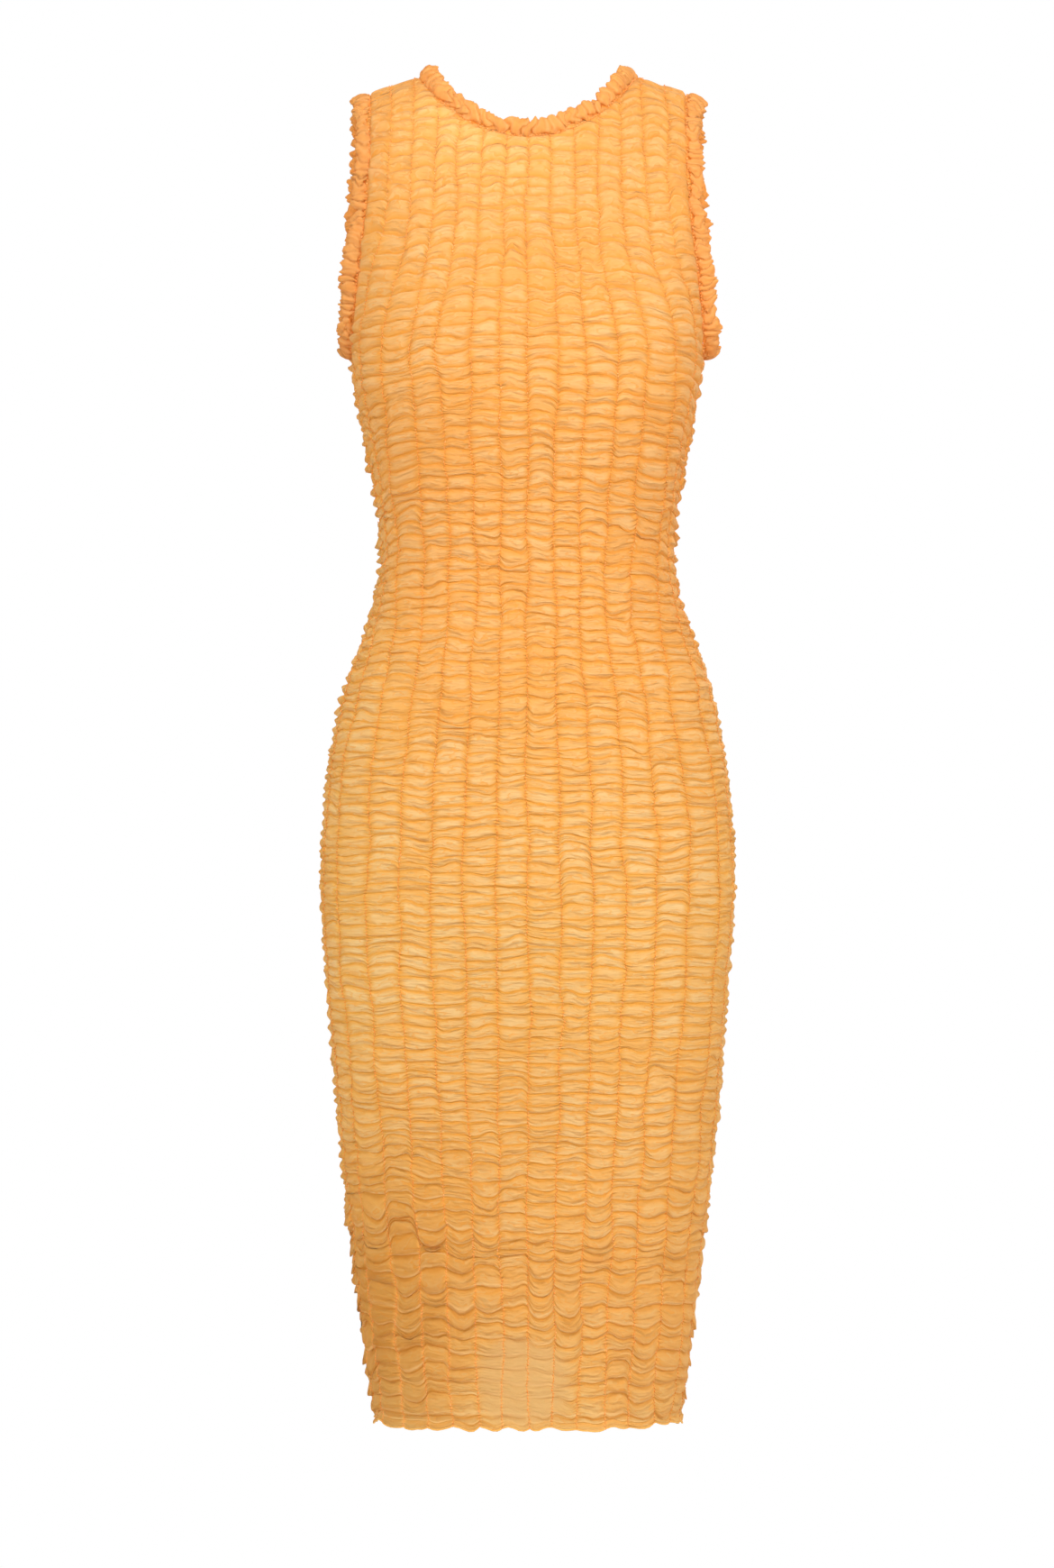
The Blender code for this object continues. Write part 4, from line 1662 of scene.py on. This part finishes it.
    @staticmethod
    def corners_of(ring: np.ndarray, after: np.ndarray) -> np.ndarray:
        """Values of each face's four corners, from those of the points on each ring and on the next."""
        return np.stack([ring[:, :-1], ring[:, 1:], after[:, 1:], after[:, :-1]], axis=-1)

    def seam_line(self, lift: float, inset: float) -> tuple[np.ndarray, np.ndarray]:
        """The line of stitches where the tube meets the cloth: points in metres, and outward normals.

        Args:
            lift: Millimetres off the cloth.
            inset: Millimetres from its edge towards the tube.

        Returns:
            The closed line's points and normals.
        """
        edge, centre, _, _, normal = self.frames(self.gathers * 6)  # close enough for a smooth line
        toward = centre - edge
        toward /= np.linalg.norm(toward, axis=1, keepdims=True)
        line = edge + normal * lift + toward * inset
        return np.vstack([line, line[:1]]) * MM, np.vstack([normal, normal[:1]])


def face_outward(piece: bpy.types.Object) -> bool:
    """Turns a nearly closed mesh's quads outward, and says if it had to.

    Args:
        piece: The mesh's object.

    Returns:
        Whether it turned them.
    """
    data = piece.data
    points = np.empty(len(data.vertices) * 3)
    data.vertices.foreach_get("co", points)
    points = points.reshape(-1, 3)
    loops = np.empty(len(data.loops), int)
    data.loops.foreach_get("vertex_index", loops)
    a, b, c, d = (points[loops.reshape(-1, 4)[:, k]] for k in range(4))
    volume = (np.cross(b, c) * a).sum() + (np.cross(c, d) * a).sum()
    if volume < 0:
        data.flip_normals()
    return volume < 0


# --------------------------------------
# Sewing, by Geometry Nodes


class NodeChain(NodeMaker):
    """A Geometry Nodes tree with named inputs, which ends in a plain mesh with its material."""

    def __init__(self, name: str, inputs: dict[str, tuple[str, Any]]) -> None:
        """A tree with a Geometry input and the named ones.

        Args:
            name: The tree's name.
            inputs: For each input's name, its socket type and value.
        """
        super().__init__(bpy.data.node_groups.new(name, "GeometryNodeTree"))
        interface = self.tree.interface
        interface.new_socket("Geometry", in_out="INPUT", socket_type="NodeSocketGeometry")
        interface.new_socket("Geometry", in_out="OUTPUT", socket_type="NodeSocketGeometry")
        self.values = {}  # by the sockets' identifiers
        for key, (kind, value) in inputs.items():
            socket = interface.new_socket(key, in_out="INPUT", socket_type=kind)
            self.values[socket.identifier] = value
        self.start = self.node("NodeGroupInput")
        self.end = self.node("NodeGroupOutput")

    def given(self, name: str) -> bpy.types.NodeSocket:
        """One of the tree's named inputs."""
        return self.start.outputs[name]

    def out(
        self,
        kind: str,
        settings: dict[str, Any] | None = None,
        inputs: dict[Any, Any] | None = None,
    ) -> bpy.types.NodeSocket:
        """Adds a node, and gives its first output."""
        return self.node(kind, settings, inputs).outputs[0]

    def vector(self, operation: str, inputs: dict[Any, Any]) -> bpy.types.NodeSocket:
        """The result of one Vector Math node."""
        return self.out("ShaderNodeVectorMath", {"operation": operation}, inputs)

    def chance(self, low: float, high: float, seed: bpy.types.NodeSocket) -> bpy.types.NodeSocket:
        """A random number for each point or copy.

        Args:
            low: The least it can be.
            high: The most.
            seed: What it is drawn from.

        Returns:
            The number.
        """
        inputs = {"Min": low, "Max": high, "Seed": seed}
        made = self.node("FunctionNodeRandomValue", {"data_type": "FLOAT"}, inputs)
        return next(o for o in made.outputs if o.enabled and o.type == "VALUE")

    def end_at(self, geometry: bpy.types.NodeSocket, material: bpy.types.Material) -> None:
        """Ends the tree: the geometry realized, smooth and with its material.

        Args:
            geometry: What the tree has made.
            material: Its material.
        """
        real = self.out("GeometryNodeRealizeInstances", None, {"Geometry": geometry})
        smooth = self.out("GeometryNodeSetShadeSmooth", None, {"Geometry": real})
        inputs = {"Geometry": smooth, "Material": material}
        self.fill(self.end, {0: self.out("GeometryNodeSetMaterial", None, inputs)})

    def apply_to(self, piece: bpy.types.Object) -> bpy.types.Object:
        """Runs the tree on a mesh object and makes the result its plain mesh.

        Args:
            piece: The mesh's object.

        Returns:
            The same object.
        """
        modifier = piece.modifiers.new(self.tree.name, "NODES")
        modifier.node_group = self.tree
        for identifier, value in self.values.items():
            modifier[identifier] = value
        graph = bpy.context.evaluated_depsgraph_get()
        data = bpy.data.meshes.new_from_object(piece.evaluated_get(graph), depsgraph=graph)
        data.name = piece.name
        piece.modifiers.clear()
        line = piece.data
        piece.data = data
        bpy.data.meshes.remove(line)
        return piece


@dataclass(frozen=True)
class StitchRun:
    """Small stitches along lines on the cloth, each at its own slant, size and offset.

    The sizes are in millimetres, and the slant is sideways for each step along.
    """

    name: str
    pitch: float
    half_length: float
    half_width: float
    wander: float
    slant: float
    seed: int
    sizes: tuple[float, float] = (0.75, 1.3)  # from the smallest to the largest

    def tree(self, material: bpy.types.Material) -> NodeChain:
        """The tree: lines to evenly spaced points, and a stitch on each, with its material.

        Args:
            material: The thread.

        Returns:
            The tree.
        """
        chain = NodeChain(
            self.name,
            {
                "Pitch": ("NodeSocketFloat", self.pitch * MM),
                "Half Length": ("NodeSocketFloat", self.half_length * MM),
                "Half Width": ("NodeSocketFloat", self.half_width * MM),
                "Wander": ("NodeSocketFloat", self.wander * MM),
                "Slant": ("NodeSocketFloat", self.slant),
                "Seed": ("NodeSocketInt", self.seed),
            },
        )
        out, given, vector = chain.out, chain.given, chain.vector
        line = out("GeometryNodeMeshToCurve", None, {"Mesh": given("Geometry")})
        spacing = {"Curve": line, "Length": given("Pitch")}
        spaced = out("GeometryNodeResampleCurve", {"mode": "LENGTH"}, spacing)
        tangent = out("GeometryNodeInputTangent")
        is_vector = {"data_type": "FLOAT_VECTOR"}
        outward = out("GeometryNodeInputNamedAttribute", is_vector, {"Name": OUTWARD})
        sideways = vector("CROSS_PRODUCT", {0: outward, 1: tangent})
        sway = vector("SCALE", {0: sideways, "Scale": self.random(chain, -1.0, 1.0, 0)})
        turned = vector("SCALE", {0: sway, "Scale": given("Slant")})
        heading = vector("ADD", {0: tangent, 1: turned})
        drift = vector("SCALE", {0: sideways, "Scale": self.random(chain, -1.0, 1.0, 7)})
        offset = vector("SCALE", {0: drift, "Scale": given("Wander")})
        placed = out("GeometryNodeSetPosition", None, {"Geometry": spaced, "Offset": offset})
        upright = out("FunctionNodeAlignRotationToVector", {"axis": "Z"}, {"Vector": outward})
        turn = {"Rotation": upright, "Vector": heading}
        facing = out("FunctionNodeAlignRotationToVector", {"axis": "X", "pivot_axis": "Z"}, turn)
        grain = out("GeometryNodeMeshUVSphere", None, {"Segments": 4, "Rings": 2, "Radius": 1.0})
        width = given("Half Width")
        size = out("ShaderNodeCombineXYZ", None, {0: given("Half Length"), 1: width, 2: width})
        shaped = out("GeometryNodeTransform", None, {"Geometry": grain, "Scale": size})
        scale = self.random(chain, *self.sizes, 13)
        copies = {"Points": placed, "Instance": shaped, "Rotation": facing, "Scale": scale}
        chain.end_at(out("GeometryNodeInstanceOnPoints", None, copies), material)
        return chain

    def random(self, chain: NodeChain, low: float, high: float, step: int) -> bpy.types.NodeSocket:
        """A random number for each stitch, from the tree's seed and a step of its own."""
        inputs = {0: chain.given("Seed"), 1: float(step)}
        return chain.chance(low, high, chain.out("ShaderNodeMath", {"operation": "ADD"}, inputs))

    def build(
        self,
        lines: Sequence[tuple[np.ndarray, np.ndarray]],
        material: bpy.types.Material,
        lift: float = 0.0,
    ) -> bpy.types.Object:
        """Sews along lines.

        Args:
            lines: Points in metres and outward normals of each line.
            material: The thread.
            lift: How far the stitches stand off the line, in millimetres.

        Returns:
            The stitches, as one plain mesh.
        """
        points, normals, edges, start = [], [], [], 0
        for line, out in lines:
            points.append(line + out * lift * MM)
            normals.append(out)
            edges += [(start + i, start + i + 1) for i in range(len(line) - 1)]
            start += len(line)
        piece = line_object(self.name, np.vstack(points), edges)
        attribute = piece.data.attributes.new(OUTWARD, "FLOAT_VECTOR", "POINT")
        attribute.data.foreach_set("vector", np.vstack(normals).astype(np.float32).ravel())
        return self.tree(material).apply_to(piece)


@dataclass(frozen=True)
class RolledHem:
    """A thin rolled edge round the hem, a tube that follows the cloth's edge, in millimetres."""

    name: str
    radius: float
    seed: int
    sides: int = 6
    sizes: tuple[float, float] = (0.75, 1.3)  # from the thinnest to the thickest

    def tree(self, material: bpy.types.Material) -> NodeChain:
        """The tree: the closed line swept with a small round, uneven in size.

        Args:
            material: The rolled cloth.

        Returns:
            The tree.
        """
        chain = NodeChain(
            self.name,
            {
                "Radius": ("NodeSocketFloat", self.radius * MM),
                "Seed": ("NodeSocketInt", self.seed),
            },
        )
        out, given = chain.out, chain.given
        line = out("GeometryNodeMeshToCurve", None, {"Mesh": given("Geometry")})
        wide = chain.chance(*self.sizes, given("Seed"))
        size = {"Resolution": self.sides, "Radius": given("Radius")}
        ring = out("GeometryNodeCurvePrimitiveCircle", None, size)
        sweep = {"Curve": line, "Profile Curve": ring, "Scale": wide}
        chain.end_at(out("GeometryNodeCurveToMesh", None, sweep), material)
        return chain

    def build(self, loop: np.ndarray, material: bpy.types.Material) -> bpy.types.Object:
        """Rolls the edge along a closed loop of points in metres.

        Args:
            loop: The points.
            material: The rolled cloth.

        Returns:
            The edge, as one plain mesh.
        """
        count = len(loop)
        piece = line_object(self.name, loop, [(i, (i + 1) % count) for i in range(count)])
        return self.tree(material).apply_to(piece)


# --------------------------------------
# The dress


@dataclass
class SmockedDress:
    """The whole dress, built in the order that a maker sews it."""

    form: DressForm = field(default_factory=DressForm)
    cloth: Chiffon = Chiffon(
        "shirred_chiffon",
        middle=(0.91, 0.435, 0.100),
        pale=(0.93, 0.62, 0.27),
        deep=(0.99, 0.385, 0.045),
        shade=(0.52, 0.33, 0.09),
    )
    ruche: Chiffon = Chiffon(
        "ruched_chiffon",
        middle=(0.91, 0.49, 0.150),
        pale=(0.94, 0.64, 0.30),
        deep=(0.95, 0.40, 0.080),
        shade=(0.72, 0.34, 0.08),
    )
    thread: Thread = Thread("elastic_thread", colour=(0.93, 0.33, 0.065), bright=(0.96, 0.55, 0.24))
    roll: Thread = Thread(
        "rolled_edge", colour=(0.82, 0.42, 0.085), bright=(0.90, 0.52, 0.17), roughness=0.75
    )
    panel_seeds: tuple[int, int] = (21, 22)
    seam_stitch_lift: float = 0.6  # millimetres off the cloth
    both_patches: tuple[Patch, ...] = (
        Patch(0.0, 640.0, 12.0, 150.0, sheer=0.10, gold=0.30),  # stretched over the hips
        Patch(0.0, 820.0, 9.0, 170.0, rise=0.8, gold=0.35),
        Patch(-9.5, 620.0, 4.5, 460.0, gold=0.90),  # loose at the sides
        Patch(9.5, 720.0, 3.4, 360.0, gold=0.60),
        Patch(0.0, 1110.0, 12.0, 170.0, dusk=0.32),  # painted shade, darker towards the hem
    )
    front_patches: tuple[Patch, ...] = (
        Patch(-0.1, 1070.0, 2.5, 42.0, rise=0.25, sheer=0.90, gold=0.25),  # flat at the hem's middle
        Patch(-5.4, 990.0, 3.6, 120.0, rise=1.3, sheer=-0.5, wild=1.6, dusk=0.35),  # slack above the hem, with painted shade
        # painted shade at the lower left, above the hem
        Patch(-8.0, 1090.0, 4.0, 120.0, dusk=0.55),
        # painted shade and a golden tint on the left flank of the bust
        Patch(-7.6, 330.0, 2.2, 170.0, gold=0.30, dusk=0.15),
        Patch(4.0, 1030.0, 3.5, 80.0, rise=1.1, sheer=-0.3),
        Patch(4.5, 715.0, 0.8, 160.0, sheer=0.20),  # tight below the hips
        Patch(-5.2, 740.0, 1.5, 200.0, sheer=0.15),
        Patch(4.8, 218.0, 2.0, 52.0, sheer=0.32, gold=0.10),  # and over the bust
        Patch(-4.0, 208.0, 2.0, 58.0, sheer=0.28, gold=0.10),
        Patch(1.5, 360.0, 3.0, 110.0, sheer=0.26),  # and at the waist
        # painted shade in the middle below the hips
        Patch(-0.5, 800.0, 3.0, 130.0, dusk=0.15),
    )

    def build(self) -> None:
        """Builds every piece of the dress, each with its material."""
        cloth, ruche = self.cloth.shirred(), self.ruche.ruched()
        thread, roll = self.thread.material(), self.roll.material()
        patches = self.both_patches + self.front_patches
        front = self.panel("front", Side.FRONT, patches, self.panel_seeds[0], cloth, thread)
        back = self.panel("back", Side.BACK, self.both_patches, self.panel_seeds[1], cloth, thread)
        self.hem(front, back, roll)
        self.bindings(ruche, thread)

    def panel(
        self,
        node: str,
        side: Side,
        patches: tuple[Patch, ...],
        seed: int,
        cloth: bpy.types.Material,
        thread: bpy.types.Material,
    ) -> ShirredPanel:
        """Builds a panel and its elastic seams.

        Args:
            node: The solid that the panel stands for.
            side: Which panel it is.
            patches: Where it hangs in its own way.
            seed: What its random numbers start from.
            cloth: Its material.
            thread: The stitches' material.

        Returns:
            The panel.
        """
        panel = ShirredPanel(self.form, side, seed, node + "_panel", patches)
        piece = panel.build()
        piece.data.materials.append(cloth)
        dress_piece(piece, Slot.CLOTH, [node])
        run = StitchRun(
            node + "_elastic_stitches",
            pitch=2.5,
            half_length=1.0,
            half_width=0.5,
            wander=0.7,
            slant=0.8,
            seed=seed,
        )
        stitches = run.build(panel.seam_lines(), thread, self.seam_stitch_lift)
        dress_piece(stitches, Slot.STITCHING)
        return panel

    def hem(self, front: ShirredPanel, back: ShirredPanel, roll: bpy.types.Material) -> None:
        """Rolls the hem's edge all round.

        Args:
            front: The front panel.
            back: The back panel.
            roll: The rolled cloth's material.
        """
        loop = np.vstack([front.hem_points()[:-1], back.hem_points()[::-1][:-1]])
        piece = RolledHem("rolled_hem", radius=0.6, seed=5).build(loop, roll)
        dress_piece(piece, Slot.STITCHING)

    def bindings(self, ruche: bpy.types.Material, thread: bpy.types.Material) -> None:
        """Builds the three bindings and the stitches that hold them.

        Args:
            ruche: Their material.
            thread: The stitches' material.
        """
        neck = RuchedBinding(
            self.form,
            "neck_ruche",
            "neck_binding",
            half_width=7.0,
            half_thickness=4.4,
            gathers=60,
            lean=0.55,
            lean_axis=2,
            lean_power=1,
            seed=31,
        )
        arms = [
            RuchedBinding(
                self.form,
                f"armhole_ruche_{hand}",
                f"armhole_binding_{hand}",
                half_width=7.2,
                half_thickness=3.6,
                gathers=64,
                lean=1.5,
                lean_axis=0,
                lean_power=5,
                seed=seed,
                mirror=mirror,
            )
            for hand, seed, mirror in (("left", 32, False), ("right", 33, True))
        ]
        for ruched in (neck, *arms):
            piece = ruched.build()
            piece.data.materials.append(ruche)
            dress_piece(piece, Slot.BINDING, [ruched.node])
            run = StitchRun(
                ruched.name + "_stitches",
                pitch=2.6,
                half_length=1.2,
                half_width=0.6,
                wander=0.4,
                slant=0.5,
                seed=ruched.seed,
            )
            line = ruched.seam_line(lift=1.3, inset=0.2)
            dress_piece(run.build([line], thread), Slot.STITCHING)


# --------------------------------------
# The studio


@dataclass(frozen=True)
class SoftLight:
    """A large soft light that faces the dress."""

    name: str
    place: tuple[float, float, float]
    size: float
    watts: float
    colour: Colour = (1.0, 1.0, 1.0)


@dataclass(frozen=True)
class Studio:
    """A plain pale floor, soft lights and a camera straight ahead, in metres."""

    camera_distance: float = 5.0
    picture_width: int = 1170
    picture_height: int = 1740
    metres_a_pixel: float = 0.000747
    centre_pixel: tuple[float, float] = (586.0, 870.0)  # the centre line, at the camera's height
    camera_drop: float = 0.587
    sensor: float = 36.0
    floor_drop: float = 1.43
    floor_radius: float = 1.25
    floor_colour: Colour = (0.93, 0.93, 0.93)
    surround: Colour = (0.95, 1.0, 0.96)
    surround_strength: float = 0.35
    white: Colour = (1.0, 1.0, 1.0)
    aim: tuple[float, float, float] = (0.0, 0.0, -0.45)  # what the lights point at
    lights: tuple[SoftLight, ...] = (
        SoftLight("key", (0.2, -1.6, 0.9), 1.2, 31.5, (1.0, 0.99, 0.97)),
        SoftLight("front", (0.0, -1.5, -0.20), 0.8, 4.0),
        SoftLight("left", (-1.6, -1.3, 0.1), 1.0, 17.5),
        SoftLight("right", (1.6, -1.3, 0.1), 1.0, 20.0),
        SoftLight("back", (0.8, 2.6, 0.9), 1.8, 52.0),
    )

    def build(self) -> None:
        """Sets up the floor, the light and the camera."""
        self.floor()
        self.world()
        for light in self.lights:
            self.lamp(light)
        self.camera()

    def floor(self) -> None:
        """A pale disc below the dress."""
        bpy.ops.mesh.primitive_circle_add(
            vertices=96, radius=self.floor_radius, fill_type="NGON", location=(0, 0, -self.floor_drop)
        )
        disc = bpy.context.object
        disc.name = "floor"
        sheet = NodeSheet("pale_floor")
        paint = {"Base Color": self.floor_colour, "Roughness": 0.9, "Specular IOR Level": 0.1}
        shader = sheet.node("ShaderNodeBsdfPrincipled", None, paint)
        disc.data.materials.append(sheet.finish(shader.outputs[0]))

    def world(self) -> None:
        """An even surround, which the camera sees as plain white."""
        world = bpy.data.worlds.new("soft_white")
        world.use_nodes = True
        maker = NodeMaker(world.node_tree)
        soft = maker.tree.nodes["Background"]
        maker.fill(soft, {"Color": self.surround, "Strength": self.surround_strength})
        seen = maker.node("ShaderNodeBackground", None, {"Color": self.white})
        path = maker.node("ShaderNodeLightPath")
        layers = {0: path.outputs["Is Camera Ray"], 1: soft.outputs[0], 2: seen.outputs[0]}
        mixed = maker.node("ShaderNodeMixShader", None, layers)
        maker.fill(maker.tree.nodes["World Output"], {"Surface": mixed.outputs[0]})
        bpy.context.scene.world = world

    def lamp(self, light: SoftLight) -> None:
        """One area light, unseen itself.

        Args:
            light: The light's sizes.
        """
        data = bpy.data.lights.new(light.name, "AREA")
        data.size = light.size
        data.energy = light.watts
        data.color = light.colour
        lamp = linked(light.name, data)
        lamp.location = light.place
        toward = Vector(self.aim) - Vector(light.place)
        lamp.rotation_euler = toward.to_track_quat("-Z", "Y").to_euler()
        lamp.visible_camera = False

    def camera(self) -> None:
        """A level camera at the photograph's viewing angle."""
        data = bpy.data.cameras.new("camera")
        height = self.metres_a_pixel * self.picture_height
        data.sensor_width = self.sensor
        data.lens = self.sensor * self.camera_distance / height
        data.shift_x = (self.picture_width / 2 - self.centre_pixel[0]) / self.picture_height
        camera = linked("camera", data)
        camera.location = (0.0, -self.camera_distance, -self.camera_drop)
        camera.rotation_euler = (math.pi / 2, 0, 0)
        bpy.context.scene.camera = camera
        bpy.context.scene.view_settings.view_transform = "Standard"


def main() -> None:
    """Loads the frame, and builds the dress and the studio."""
    logging.basicConfig(level=logging.INFO, format="%(name)s: %(message)s")
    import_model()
    SmockedDress().build()
    Studio().build()


if __name__ == "__main__":
    main()
